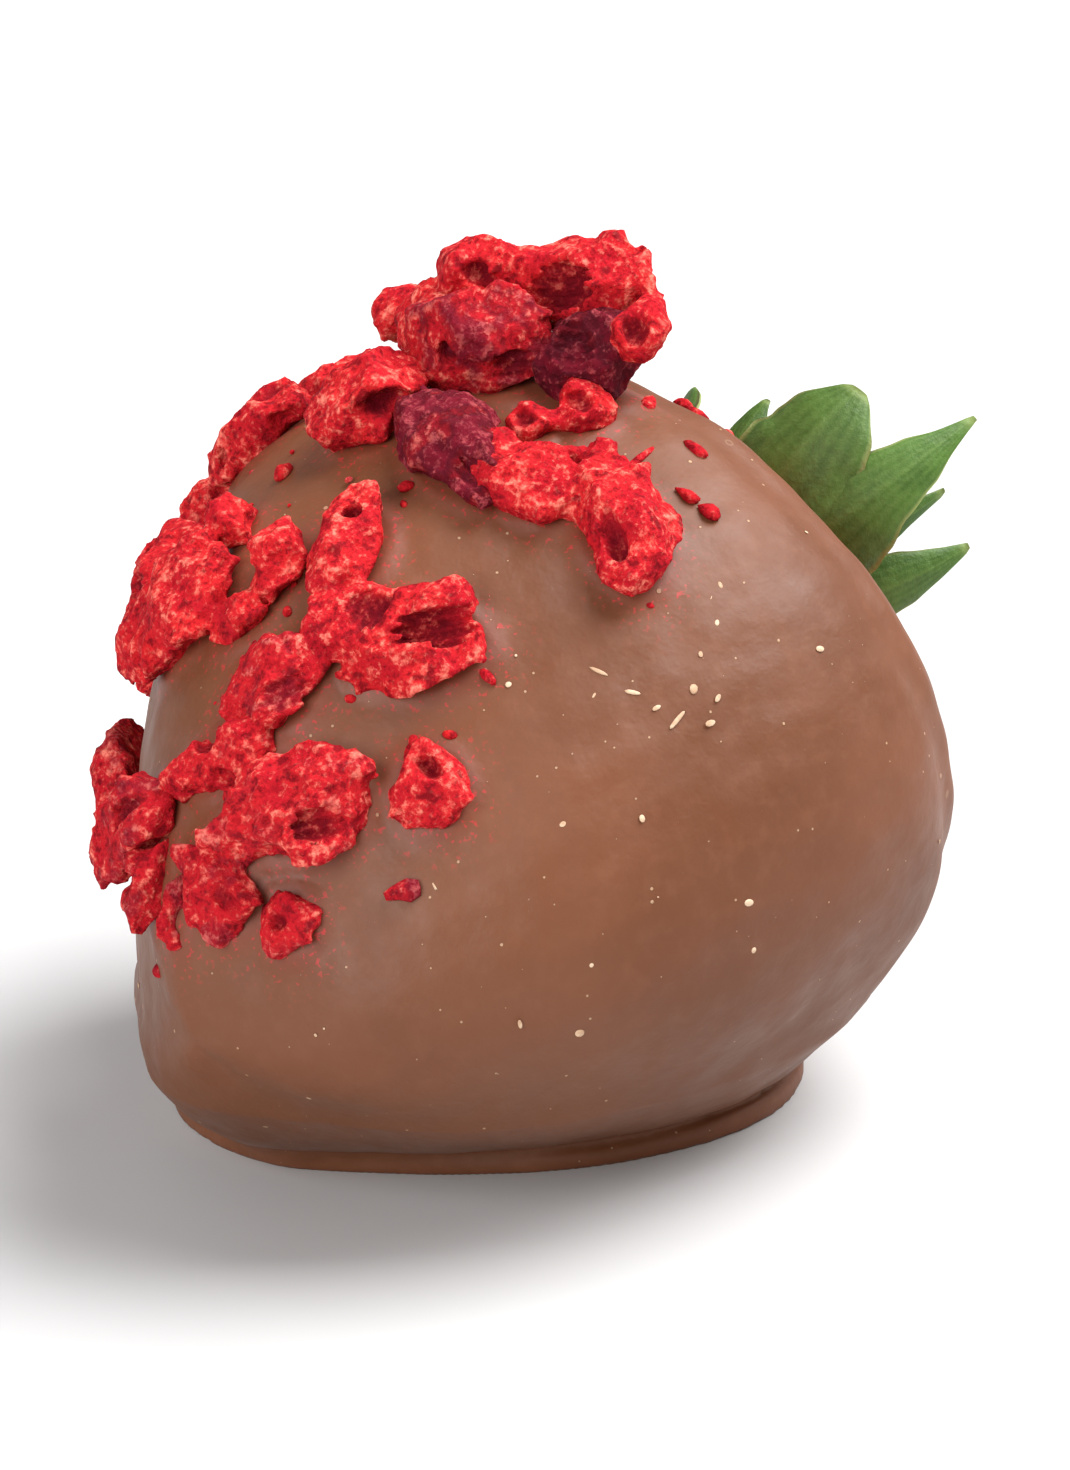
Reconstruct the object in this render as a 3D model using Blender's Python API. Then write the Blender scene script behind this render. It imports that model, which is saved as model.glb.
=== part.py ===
"""A strawberry dipped in milk chocolate, lying on the foot that its coat set with.

Metres, +Z up. The berry's axis runs from the tip, at -X, to the calyx, at +X, and rises towards the
calyx. The origin is on the surface that the foot rests on, under the middle of the whole.
"""

import math
import random

import bmesh
import bpy
from mathutils import Matrix, Vector

MM = 0.001

# The dipped berry, measured on its coat from the axis centre, the point where it is widest
AXIS_CENTRE = Vector((3.2, -1.0, 20.3)) * MM
AXIS_RISE = math.radians(15)
TIP_LENGTH = 30.0 * MM
CALYX_LENGTH = 15.0 * MM
HALF_WIDTH = 24.0 * MM
HALF_DEPTH = 20.5 * MM
TIP_POWER = 1.7
CALYX_POWER = 3.0
TIP_BEND = -3.0 * MM
TWO_LOBES, TWO_LOBES_AT = 1.8 * MM, 2.27
THREE_LOBES, THREE_LOBES_AT = 3.0 * MM, -3.0
SOFT_MIDDLE = 0.2

# The coat, which thins towards the dip line, and the gap that it keeps to the fruit
COAT = 1.5 * MM
GAP = 0.3 * MM
DIP_LINE = 11.6 * MM
DIP_WAVE = 0.5 * MM

# The bare end of the fruit swells past the dip line and dimples in round the calyx
SHOULDER_RISE = 2.6 * MM
SHOULDER_FROM, SHOULDER_TO = math.radians(110), math.radians(140)
DIMPLE_DEPTH = 3.6 * MM
DIMPLE_ANGLE = 0.42

# The foot, where soft chocolate ran down and set on a flat sheet, with a crease over its lip that is
# deepest at one end
FOOT_CENTRE = Vector((0.2, 1.9)) * MM
FOOT_LENGTH = 35.0 * MM
FOOT_WIDTH = 27.2 * MM
FOOT_POWER = 2.2
FOOT_TURN = math.radians(-44)
FOOT_WAVES = 0.015, 0.01
LIP_HEIGHT = 1.35 * MM
CREASE_DEPTH = 1.1 * MM
CREASE_HEIGHT = 1.6 * MM
CREASE_AT, CREASE_LEAST, CREASE_POWER = 0.4, 0.1, 1.3
SKIRT_TOP = 7.0 * MM
BELOW_FLOOR = 2.0 * MM

# The calyx. Each sepal is: degrees round the axis (90 is the top, 180 the side of the photograph), how
# far its tip stands out from the axis and along it, and its width, in millimetres.
SEPALS = [
    (88, 9.4, 21.2, 3.4),
    (116, 11.6, 23.2, 7.4),
    (142, 12.6, 26.8, 6.8),
    (158, 8.0, 25.6, 3.0),
    (176, 9.8, 24.4, 5.6),
    (206, 9.0, 19.6, 3.2),
    (236, 11.2, 19.4, 6.8),
    (266, 10.5, 22.5, 3.2),
    (297, 13.0, 21.6, 6.4),
    (327, 10.5, 22.6, 3.4),
    (356, 13.2, 21.0, 6.8),
    (24, 10.8, 21.4, 3.2),
    (54, 10.6, 21.0, 6.6),
]
SEPAL_THICKNESS = 0.45 * MM
SEPAL_TIP = 0.4 * MM
SEPAL_ROOT = Vector((2.4, 14.7)) * MM
NARROW_SEPAL = 4.0
NARROW_LOWER = 0.45 * MM
SEPAL_BEND_OUT = 0.85
SEPAL_BEND_HEIGHT = 16.2 * MM
SEPAL_TWIST = 0.35
SEPAL_CUP, SEPAL_WAVE = 0.3, 0.07
HUB_RADIUS = 3.4 * MM
HUB_HEIGHT = 14.0 * MM
STEM_RADIUS = 1.3 * MM
STEM_LENGTH = 4.2 * MM

# Pieces of freeze-dried strawberry on the coat. Each is: degrees from the tip, degrees round the axis,
# length, width and rise above the coat in millimetres, and the degrees that its length is turned from
# the line running to the calyx.
PIECES = [
    (85, 76, 7.6, 6.6, 4.2, 36),
    (100, 84, 8.4, 5.6, 4.4, 102),
    (101, 72, 6.2, 4.8, 5.0, 60),
    (108, 98, 6.2, 5.6, 4.2, 96),
    (100.5, 104, 3.8, 3.4, 2.3, 30),
    (93, 100, 3.4, 2.8, 1.6, 159),
    (81, 96, 9.6, 5.2, 3.0, 69),
    (84, 108, 7.9, 5.7, 2.8, 96),
    (87, 124, 9.4, 5.6, 2.8, 63),
    (60, 92, 7.0, 5.2, 2.5, 24),
    (52.5, 110, 10.4, 6.8, 2.6, 114),
    (48, 62, 9.6, 7.6, 3.0, 111),
    (54, 82, 5.8, 3.1, 3.0, 6),
    (46.5, 78, 4.6, 3.7, 2.0, 141),
    (60, 68, 3.5, 2.4, 3.2, 27),
    (39, 92, 6.6, 6.0, 2.8, 138),
    (30, 88, 7.4, 4.8, 2.0, 123),
    (27, 110, 9.7, 6.3, 3.0, 126),
    (16.5, 98, 6.1, 4.6, 2.0, 54),
    (18, 128, 4.3, 3.8, 1.7, 60),
    (22.5, 60, 7.6, 5.2, 2.8, 117),
    (16.5, 66, 5.7, 3.2, 2.2, 156),
    (13, 80, 3.7, 2.4, 1.3, 177),
    (40.5, 132, 5.2, 4.6, 2.2, 60),
]
SUNK = 0.7 * MM
PIECE_SIDES = 10
BROKEN_OFF = (0.78, 1.05)

# Four more lie on top of those, with the height of their underside above the coat as a seventh number
STACKED_PIECES = [
    (106, 78, 4.8, 4.4, 7.2, 111, 3.4),
    (104, 63, 3.8, 3.2, 4.8, 40, 1.5),
    (112, 90, 8.6, 6.4, 7.8, 114, 3.0),
    (110, 104, 4.8, 3.2, 6.4, 39, 2.4),
]

# On the side away from the photograph the pieces go on, spread by a rule
FAR_PIECES = 11
FAR_SEED = 4
FAR_POLAR = (44, 108)
FAR_AROUND = (-12, 50)
FAR_APART = 6.5 * MM
FAR_LENGTH = (4.0, 8.0)

MATERIALS = {
    "milk_chocolate": ((0.30, 0.155, 0.085, 1), 0.42),
    "strawberry_flesh": ((0.62, 0.03, 0.025, 1), 0.35),
    "sepal_green": ((0.07, 0.19, 0.025, 1), 0.55),
}
MERGE = 0.001 * MM


def clear_scene():
    for obj in list(bpy.data.objects):
        bpy.data.objects.remove(obj)


def material(name):
    made = bpy.data.materials.get(name)
    if made:
        return made
    colour, roughness = MATERIALS[name]
    made = bpy.data.materials.new(name)
    made.use_nodes = True
    shader = made.node_tree.nodes["Principled BSDF"]
    shader.inputs["Base Color"].default_value = colour
    shader.inputs["Roughness"].default_value = roughness
    shader.inputs["Metallic"].default_value = 0
    return made


def new_object(name, solid, material_name, collection=None):
    """Makes an object of a closed bmesh, its faces turned outwards, and frees the bmesh."""
    bmesh.ops.recalc_face_normals(solid, faces=solid.faces)
    if solid.calc_volume(signed=True) < 0:
        bmesh.ops.reverse_faces(solid, faces=solid.faces)
    mesh = bpy.data.meshes.new(name)
    solid.to_mesh(mesh)
    solid.free()
    mesh.materials.append(material(material_name))
    mesh.shade_smooth()
    mesh.set_sharp_from_angle(angle=math.radians(50))
    obj = bpy.data.objects.new(name, mesh)
    (collection or bpy.context.scene.collection).objects.link(obj)
    return obj


def new_collection(name):
    made = bpy.data.collections.new(name)
    bpy.context.scene.collection.children.link(made)
    return made


def keep_outer_skin(solid):
    """Fills sealed hollows and drops scraps: only the skin that encloses the most is kept."""
    left = set(solid.faces)
    skins = []
    while left:
        edge_of_skin = [left.pop()]
        skin = []
        while edge_of_skin:
            face = edge_of_skin.pop()
            skin.append(face)
            near = {other for edge in face.edges for other in edge.link_faces} & left
            left -= near
            edge_of_skin += near
        volume = sum(face.normal.dot(face.calc_center_median()) * face.calc_area() for face in skin)
        skins.append((volume, skin))
    skins.sort(key=lambda entry: entry[0])
    for _, skin in skins[:-1]:
        bmesh.ops.delete(solid, geom=skin, context="FACES")


def combine(obj, collection, operation, solver="EXACT"):
    """Joins or cuts obj with all of the collection's objects, then removes those."""
    modifier = obj.modifiers.new(operation.lower(), "BOOLEAN")
    modifier.operand_type = "COLLECTION"
    modifier.collection = collection
    modifier.operation = operation
    modifier.solver = solver
    bpy.context.view_layer.update()
    graph = bpy.context.evaluated_depsgraph_get()
    mesh = bpy.data.meshes.new_from_object(obj.evaluated_get(graph))
    obj.modifiers.clear()
    obj.data = mesh
    welded = bmesh.new()
    welded.from_mesh(mesh)
    bmesh.ops.remove_doubles(welded, verts=welded.verts, dist=MERGE)
    bmesh.ops.dissolve_degenerate(welded, edges=welded.edges, dist=MERGE)
    keep_outer_skin(welded)
    welded.to_mesh(mesh)
    welded.free()
    for used in list(collection.objects):
        bpy.data.objects.remove(used)
    bpy.data.collections.remove(collection)


def loft(rings):
    """A closed skin through rings of equally many points, its ends closed by flat faces."""
    solid = bmesh.new()
    loops = [[solid.verts.new(point) for point in ring] for ring in rings]
    for lower, upper in zip(loops, loops[1:]):
        for i, corner in enumerate(lower):
            j = (i + 1) % len(lower)
            solid.faces.new((corner, lower[j], upper[j], upper[i]))
    solid.faces.new(loops[0])
    solid.faces.new(loops[-1])
    return solid


def berry_radius(polar, around):
    """From the axis centre to the coat. polar is 0 at the tip, and around is a quarter turn at the top."""
    along, across = math.cos(polar), math.sin(polar)
    section = 1 / math.hypot(math.cos(around) / HALF_WIDTH, math.sin(around) / HALF_DEPTH)
    length, power = (TIP_LENGTH, TIP_POWER) if along > 0 else (CALYX_LENGTH, CALYX_POWER)
    lengthwise = (along ** 2 + SOFT_MIDDLE ** 2) ** (power / 2) - SOFT_MIDDLE ** power
    radius = (lengthwise / length ** power + (across / section) ** power) ** (-1 / power)
    lobes = TWO_LOBES * math.cos(2 * (around - TWO_LOBES_AT))
    lobes += THREE_LOBES * math.cos(3 * (around - THREE_LOBES_AT))
    tipwards = (along + math.hypot(along, SOFT_MIDDLE)) / 2
    return radius + tipwards * across * lobes


def from_axis(along, side, up):
    """The place of a point given along the berry's axis, to its left side and up from it."""
    rise, run = math.sin(AXIS_RISE), math.cos(AXIS_RISE)
    return AXIS_CENTRE + Vector((along * run - up * rise, side, along * rise + up * run))


def berry_point(polar, around, lift=0.0):
    """A point on the coat's surface, or that far above it."""
    radius = berry_radius(polar, around) + lift
    along = math.cos(polar)
    bend = TIP_BEND * max(along, 0) ** 2
    across = radius * math.sin(polar)
    return from_axis(-radius * along, across * math.cos(around) + bend, across * math.sin(around))


def berry_normal(polar, around, step=0.01):
    """The outward normal of the coat."""
    by_polar = berry_point(polar + step, around) - berry_point(polar - step, around)
    by_around = berry_point(polar, around + step) - berry_point(polar, around - step)
    normal = by_polar.cross(by_around).normalized()
    outward = berry_point(polar, around) - AXIS_CENTRE
    return normal if normal.dot(outward) > 0 else -normal


def fruit_lift(polar):
    """How far the fruit's surface is above the coat's: below it, until past the dip line."""
    share = (polar - SHOULDER_FROM) / (SHOULDER_TO - SHOULDER_FROM)
    swell = SHOULDER_RISE * min(max(share, 0), 1) ** 2
    dimple = DIMPLE_DEPTH * math.exp(-(((math.pi - polar) / DIMPLE_ANGLE) ** 2))
    return swell - COAT - dimple


def berry_skin(columns, rows, lift):
    """A closed skin round the berry, lifted from the coat's surface by a rule of the angle from the tip."""
    solid = bmesh.new()
    bmesh.ops.create_uvsphere(solid, u_segments=columns, v_segments=rows, radius=1)
    for vertex in solid.verts:
        polar = math.acos(max(-1, min(1, -vertex.co.z)))
        around = math.atan2(vertex.co.y, vertex.co.x)
        vertex.co = berry_point(polar, around, lift(polar))
    return solid


def inside_coat(point):
    """Whether a point is inside the coat's surface."""
    rise, run = math.sin(AXIS_RISE), math.cos(AXIS_RISE)
    local = point - AXIS_CENTRE
    along, up = local.x * run + local.z * rise, local.z * run - local.x * rise
    side = local.y - TIP_BEND * max(-along / local.length, 0) ** 2
    polar, around = math.atan2(math.hypot(side, up), -along), math.atan2(up, side)
    return math.hypot(along, side, up) < berry_radius(polar, around)


def foot_radius(turn):
    """From the foot's middle to its uneven outline."""
    share = (abs(math.cos(turn)) / (FOOT_LENGTH / 2)) ** FOOT_POWER
    share += (abs(math.sin(turn)) / (FOOT_WIDTH / 2)) ** FOOT_POWER
    waves = FOOT_WAVES[0] * math.cos(3 * turn + 0.8) + FOOT_WAVES[1] * math.cos(5 * turn)
    return share ** (-1 / FOOT_POWER) * (1 + waves)


def foot_point(turn, radius, height):
    angle = turn + FOOT_TURN
    return Vector((
        FOOT_CENTRE.x + radius * math.cos(angle),
        FOOT_CENTRE.y + radius * math.sin(angle),
        height,
    ))


def coat_reach(turn, height):
    """How far out from the foot's middle the coat is at one height."""
    near, far = 0.0, HALF_WIDTH * 2
    while far - near > GAP / 10:
        middle = (near + far) / 2
        if inside_coat(foot_point(turn, middle, height)):
            near = middle
        else:
            far = middle
    return near


def foot(columns=44):
    """The lip on the floor, a crease over it that fades at one end, and a skirt up to the coat."""
    rings = [[] for _ in range(9)]
    for i in range(columns):
        turn = math.tau * i / columns
        lip = foot_radius(turn)
        fullness = CREASE_LEAST + (1 - CREASE_LEAST) * (1 + math.cos(turn - CREASE_AT)) / 2
        crease = lip - CREASE_DEPTH * fullness ** CREASE_POWER
        belly = coat_reach(turn, SKIRT_TOP)
        rings[0].append(foot_point(turn, lip, -BELOW_FLOOR))
        rings[1].append(foot_point(turn, lip, 0.6 * LIP_HEIGHT))
        rings[2].append(foot_point(turn, (2 * lip + crease) / 3, LIP_HEIGHT))
        for step in range(5):
            share = step / 4
            height = CREASE_HEIGHT + (SKIRT_TOP - CREASE_HEIGHT) * share
            rings[3 + step].append(foot_point(turn, crease + (belly - crease) * share, height))
        rings[8].append(foot_point(turn, belly - 2 * COAT, SKIRT_TOP))
    return loft(rings)


def beyond_dip_line(columns=40, rings=6, reach=40 * MM):
    """A block across the axis, with a gently wavy face where the chocolate stops."""

    def on_face(turn, radius):
        wave = DIP_WAVE * math.sin(2 * turn - 0.9) + 0.5 * DIP_WAVE * math.sin(5 * turn + 1.9)
        along = DIP_LINE + wave * min(radius / HALF_DEPTH, 1)
        return from_axis(along, radius * math.cos(turn), radius * math.sin(turn))

    turns = [math.tau * i / columns for i in range(columns)]
    levels = [[on_face(turn, reach * (i + 0.1) / rings) for turn in turns] for i in range(rings)]
    levels.append([from_axis(reach, reach * math.cos(turn), reach * math.sin(turn)) for turn in turns])
    return loft(levels)


def below_foot(side=120 * MM, depth=20 * MM):
    """Everything under the surface that the foot set on."""
    solid = bmesh.new()
    bmesh.ops.create_cube(solid, size=1)
    bmesh.ops.scale(solid, vec=(side, side, depth), verts=solid.verts)
    bmesh.ops.translate(solid, vec=(0, 0, -depth / 2), verts=solid.verts)
    return solid


def piece_faces(seed):
    """The flat faces that one dried piece broke along: their directions and distances from its middle."""
    draw = random.Random(seed)
    faces = []
    for i in range(PIECE_SIDES):
        height = 1 - 2 * (i + 0.5) / PIECE_SIDES
        turn = i * math.pi * (3 - math.sqrt(5)) + draw.uniform(-0.5, 0.5)
        ring = math.sqrt(1 - height * height)
        direction = Vector((ring * math.cos(turn), ring * math.sin(turn), height))
        faces.append((direction, draw.uniform(*BROKEN_OFF)))
    return faces


def piece_radius(direction, faces):
    """From a dried piece's middle to its broken surface, in shares of its half size."""
    reach = [far / facing.dot(direction) for facing, far in faces if facing.dot(direction) > 0.2]
    return min(reach + [1.2])


def dried_piece(seed, polar, around, length, width, rise, turned, underside=-SUNK / MM):
    """One piece of freeze-dried strawberry, sunk a little into the coat unless it lies on others."""
    polar, around = math.radians(polar), math.radians(around)
    up = berry_normal(polar, around)
    along = (berry_point(polar + 0.02, around) - berry_point(polar - 0.02, around)).normalized()
    along = Matrix.Rotation(math.radians(turned), 3, up) @ along
    axes = Matrix((along, up.cross(along), up)).transposed()
    half = Vector((length, width, rise - underside)) * MM / 2
    middle = berry_point(polar, around) + up * (rise + underside) * MM / 2
    faces = piece_faces(seed)
    solid = bmesh.new()
    bmesh.ops.create_icosphere(solid, subdivisions=2, radius=1)
    for vertex in solid.verts:
        local = vertex.co.normalized() * piece_radius(vertex.co.normalized(), faces)
        vertex.co = middle + axes @ (local * half)
    return solid


def far_pieces():
    """The pieces on the far side, each at least FAR_APART from the others."""
    draw = random.Random(FAR_SEED)
    found, places = [], []
    while len(found) < FAR_PIECES:
        polar, around = draw.uniform(*FAR_POLAR), draw.uniform(*FAR_AROUND)
        place = berry_point(math.radians(polar), math.radians(around))
        if any((place - other).length < FAR_APART for other in places):
            continue
        places.append(place)
        length = draw.uniform(*FAR_LENGTH)
        width, rise = length * draw.uniform(0.6, 0.85), length * draw.uniform(0.3, 0.48)
        found.append((polar, around, length, width, rise, draw.uniform(0, 180)))
    return found


def chocolate_coat():
    """The coat and its foot, with the dried pieces stuck to it, open at the calyx end."""
    coat = new_object("chocolate_coat", berry_skin(44, 26, lambda polar: 0), "milk_chocolate")
    added = new_collection("run_down")
    new_object("foot", foot(), "milk_chocolate", added)
    combine(coat, added, "UNION")
    removed = new_collection("cut_away")
    new_object("below_foot", below_foot(), "milk_chocolate", removed)
    new_object("beyond_dip_line", beyond_dip_line(), "milk_chocolate", removed)
    hollow = berry_skin(28, 22, lambda polar: fruit_lift(polar) + GAP)
    new_object("fruit_hollow", hollow, "milk_chocolate", removed)
    combine(coat, removed, "DIFFERENCE")
    stuck = new_collection("stuck_on")
    for index, spec in enumerate(PIECES + STACKED_PIECES + far_pieces()):
        new_object(f"dried_piece_{index}", dried_piece(index, *spec), "milk_chocolate", stuck)
    combine(coat, stuck, "UNION", solver="MANIFOLD")


def strawberry():
    """The fruit that fills the coat and shows round the calyx."""
    new_object("strawberry", berry_skin(32, 26, fruit_lift), "strawberry_flesh")


def sepal(index, turn, tip_out, tip_along, width, rows=7):
    """A thin wavy leaf that leaves the hub low over the fruit and bends up to its tip."""
    narrow = width < NARROW_SEPAL
    turn = math.radians(turn)
    out = Vector((0, math.cos(turn), math.sin(turn)))
    side = Vector((0, -math.sin(turn), math.cos(turn)))
    axis = Vector((1, 0, 0))
    tip = Vector((tip_out, tip_along)) * MM
    root = SEPAL_ROOT - Vector((0, NARROW_LOWER if narrow else 0))
    bend = Vector((root.x + SEPAL_BEND_OUT * (tip.x - root.x), SEPAL_BEND_HEIGHT))
    twist = SEPAL_TWIST * math.sin(2.4 * index + 1)
    leaf = bmesh.new()
    bmesh.ops.create_grid(leaf, x_segments=2 if narrow else 4, y_segments=rows, size=1)
    for vertex in leaf.verts:
        s, share = vertex.co.x, (vertex.co.y + 1) / 2
        middle = root * (1 - share) ** 2 + bend * 2 * share * (1 - share) + tip * share ** 2
        slope = ((bend - root) * (1 - share) + (tip - bend) * share).normalized()
        upper = axis * slope.x - out * slope.y
        across = side * math.cos(twist * share) + upper * math.sin(twist * share)
        half = SEPAL_TIP + (width * MM / 2 - SEPAL_TIP) * math.sin(math.pi * (0.04 + 0.95 * share) ** 0.7)
        cup = half * (SEPAL_CUP * s * s + SEPAL_WAVE * abs(s) * math.sin(9 * share + 2 * index))
        place = out * middle.x + axis * middle.y + across * half * s + upper * cup
        vertex.co = from_axis(*place)
    bmesh.ops.triangulate(leaf, faces=leaf.faces)
    bmesh.ops.solidify(leaf, geom=leaf.faces, thickness=SEPAL_THICKNESS)
    return leaf


def hub(columns=14):
    """The round base that carries the sepals, with the cut stem on it."""
    profile = [
        (HUB_RADIUS * 0.8, -0.5 * MM),
        (HUB_RADIUS, 0.2 * MM),
        (HUB_RADIUS * 1.05, 1.2 * MM),
        (HUB_RADIUS * 0.8, 1.9 * MM),
        (STEM_RADIUS, 2.4 * MM),
        (STEM_RADIUS * 0.92, STEM_LENGTH),
    ]
    turns = [math.tau * i / columns for i in range(columns)]
    rings = []
    for radius, height in profile:
        along = HUB_HEIGHT + height
        rings.append([from_axis(along, radius * math.cos(turn), radius * math.sin(turn)) for turn in turns])
    return loft(rings)


def calyx():
    """The green crown, wide sepals with a narrow one between each two."""
    crown = new_object("calyx", hub(), "sepal_green")
    leaves = new_collection("sepals")
    for index, spec in enumerate(SEPALS):
        new_object(f"sepal_{index}", sepal(index, *spec), "sepal_green", leaves)
    combine(crown, leaves, "UNION", solver="MANIFOLD")


def main():
    clear_scene()
    chocolate_coat()
    strawberry()
    calyx()


main()
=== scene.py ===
"""The looks of a strawberry dipped in milk chocolate: coat, dried pieces, bare shoulder and calyx.

Lengths are in millimetres until a mesh is made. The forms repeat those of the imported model.
"""

import itertools
import random
from math import cos, degrees, pi, radians, sin, sqrt, tau

import bpy
import numpy as np
from mathutils import Matrix


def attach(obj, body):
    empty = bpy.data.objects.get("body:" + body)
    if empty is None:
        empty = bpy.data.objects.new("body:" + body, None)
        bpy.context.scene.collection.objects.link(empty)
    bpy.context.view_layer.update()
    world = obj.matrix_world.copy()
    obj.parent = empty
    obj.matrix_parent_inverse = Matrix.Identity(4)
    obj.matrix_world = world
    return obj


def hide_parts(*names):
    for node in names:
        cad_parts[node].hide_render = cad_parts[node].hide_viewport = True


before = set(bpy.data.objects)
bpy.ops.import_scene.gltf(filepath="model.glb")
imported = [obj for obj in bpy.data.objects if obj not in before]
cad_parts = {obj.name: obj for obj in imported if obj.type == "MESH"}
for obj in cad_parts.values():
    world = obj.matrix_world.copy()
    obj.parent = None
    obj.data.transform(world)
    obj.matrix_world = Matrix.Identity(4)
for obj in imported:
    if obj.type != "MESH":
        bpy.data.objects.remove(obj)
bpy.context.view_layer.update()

MM = 0.001

# The dipped berry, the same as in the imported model
AXIS_CENTRE = np.array([3.2, -1.0, 20.3])
AXIS_RISE = radians(15)
TIP_LENGTH = 30.0
CALYX_LENGTH = 15.0
HALF_WIDTH = 24.0
HALF_DEPTH = 20.5
TIP_POWER = 1.7
CALYX_POWER = 3.0
TIP_BEND = -3.0
TWO_LOBES, TWO_LOBES_AT = 1.8, 2.27
THREE_LOBES, THREE_LOBES_AT = 3.0, -3.0
SOFT_MIDDLE = 0.2

# The coat, its edge at the dip line with a bead and a groove behind it, and how far it reaches into the
# fruit, so that no gap shows
COAT = 1.5
INTO_FRUIT = 0.25
BEAD, BEAD_AT, BEAD_WIDTH = 0.2, 1.1, 0.8
GROOVE, GROOVE_AT, GROOVE_WIDTH = 0.16, 2.9, 0.9
DIP_LINE = 11.6
DIP_WAVE = 0.5
RIM_ROUND = 0.6
COAT_CELL = 0.32
COAT_REGION = np.array([-27.5, -26.0, -0.6]), np.array([20.5, 25.5, 43.0])
# Painted shade on the coat: its colour is darkest at the first height and not darkened above the second
SHADE_DARKEST_AT, UNSHADED_ABOVE = 4.0, 22.0

# The coat's slow waves, with height, size and seed, and how it rises round a dried piece
COAT_WAVES = [(0.14, 11, 3), (0.035, 3.6, 5)]
COLLAR, COLLAR_WIDTH = 0.3, 0.75

# The bare end of the fruit
SHOULDER_RISE = 2.6
SHOULDER_FROM, SHOULDER_TO = radians(110), radians(140)
DIMPLE_DEPTH = 3.6
DIMPLE_ANGLE = 0.42

# The foot
FOOT_CENTRE = np.array([0.2, 1.9])
FOOT_LENGTH = 35.0
FOOT_WIDTH = 27.2
FOOT_POWER = 2.2
FOOT_TURN = radians(-44)
FOOT_WAVES = 0.015, 0.01
LIP_HEIGHT = 1.35
LIP_THINNEST = 0.8
CREASE_DEPTH = 1.1
CREASE_HEIGHT = 1.6
CREASE_AT, CREASE_LEAST, CREASE_POWER = 0.4, 0.1, 1.3
SKIRT_TOP = 7.0
SKIRT_BLEND = 3.0
LIP_BLEND = 0.35

# Sepals: degrees round the axis, how far the tip stands out from the axis and along it, and the width
SEPALS = [
    (88, 9.4, 21.2, 3.4), (116, 11.6, 23.2, 7.4), (142, 12.6, 26.8, 6.8),
    (158, 8.0, 25.6, 3.0), (176, 9.8, 24.4, 5.6), (206, 9.0, 19.6, 3.2),
    (236, 11.2, 19.4, 6.8), (266, 10.5, 22.5, 3.2), (297, 13.0, 21.6, 6.4),
    (327, 10.5, 22.6, 3.4), (356, 13.2, 21.0, 6.8), (24, 10.8, 21.4, 3.2),
    (54, 10.6, 21.0, 6.6),
]
SEPAL_SHOWN_THICKNESS = 0.34

# Sepals that differ: how much wider, how blunt (below 0 is more pointed) and how pale, by their place in
# the list
SEPAL_FORMS = {
    1: (1.05, 1.0, 0.04),
    2: (1.12, -0.45, 0.0),
    4: (0.8, 0.0, 0.0),
    6: (1.0, 0.4, 0.1),
    8: (1.0, 0.6, 0.15),
    10: (1.05, 0.3, 0.1),
    12: (1.0, 0.7, 0.0),
}
SEPAL_TIP = 0.4
SEPAL_ROOT = np.array([2.4, 14.7])
NARROW_SEPAL = 4.0
NARROW_LOWER = 0.45
SEPAL_BEND_OUT, SEPAL_BEND_HEIGHT = 0.85, 16.2
SEPAL_TWIST, SEPAL_CUP, SEPAL_WAVE = 0.35, 0.3, 0.07
SEPAL_RIBS, RIB_HEIGHT = 3.5, 0.05
FOLD_DEPTH, FOLD_WIDTH = 0.12, 0.09
CURL = 0.16

# The base of the crown with the cut stem: share of its radius, and height
HUB_RADIUS = 3.4
HUB_HEIGHT = 14.0
HUB_PROFILE = [
    (0.5, -1.7), (0.86, -1.2), (1.0, -0.1), (1.05, 0.6), (1.0, 1.3), (0.86, 1.75), (0.62, 2.1),
    (0.45, 2.5), (0.39, 3.0), (0.375, 3.6), (0.36, 4.05), (0.33, 4.2), (0.2, 4.12), (0.08, 4.0),
]
STEM_TOP, STEM_CUT = 4.06, 0.25
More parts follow.
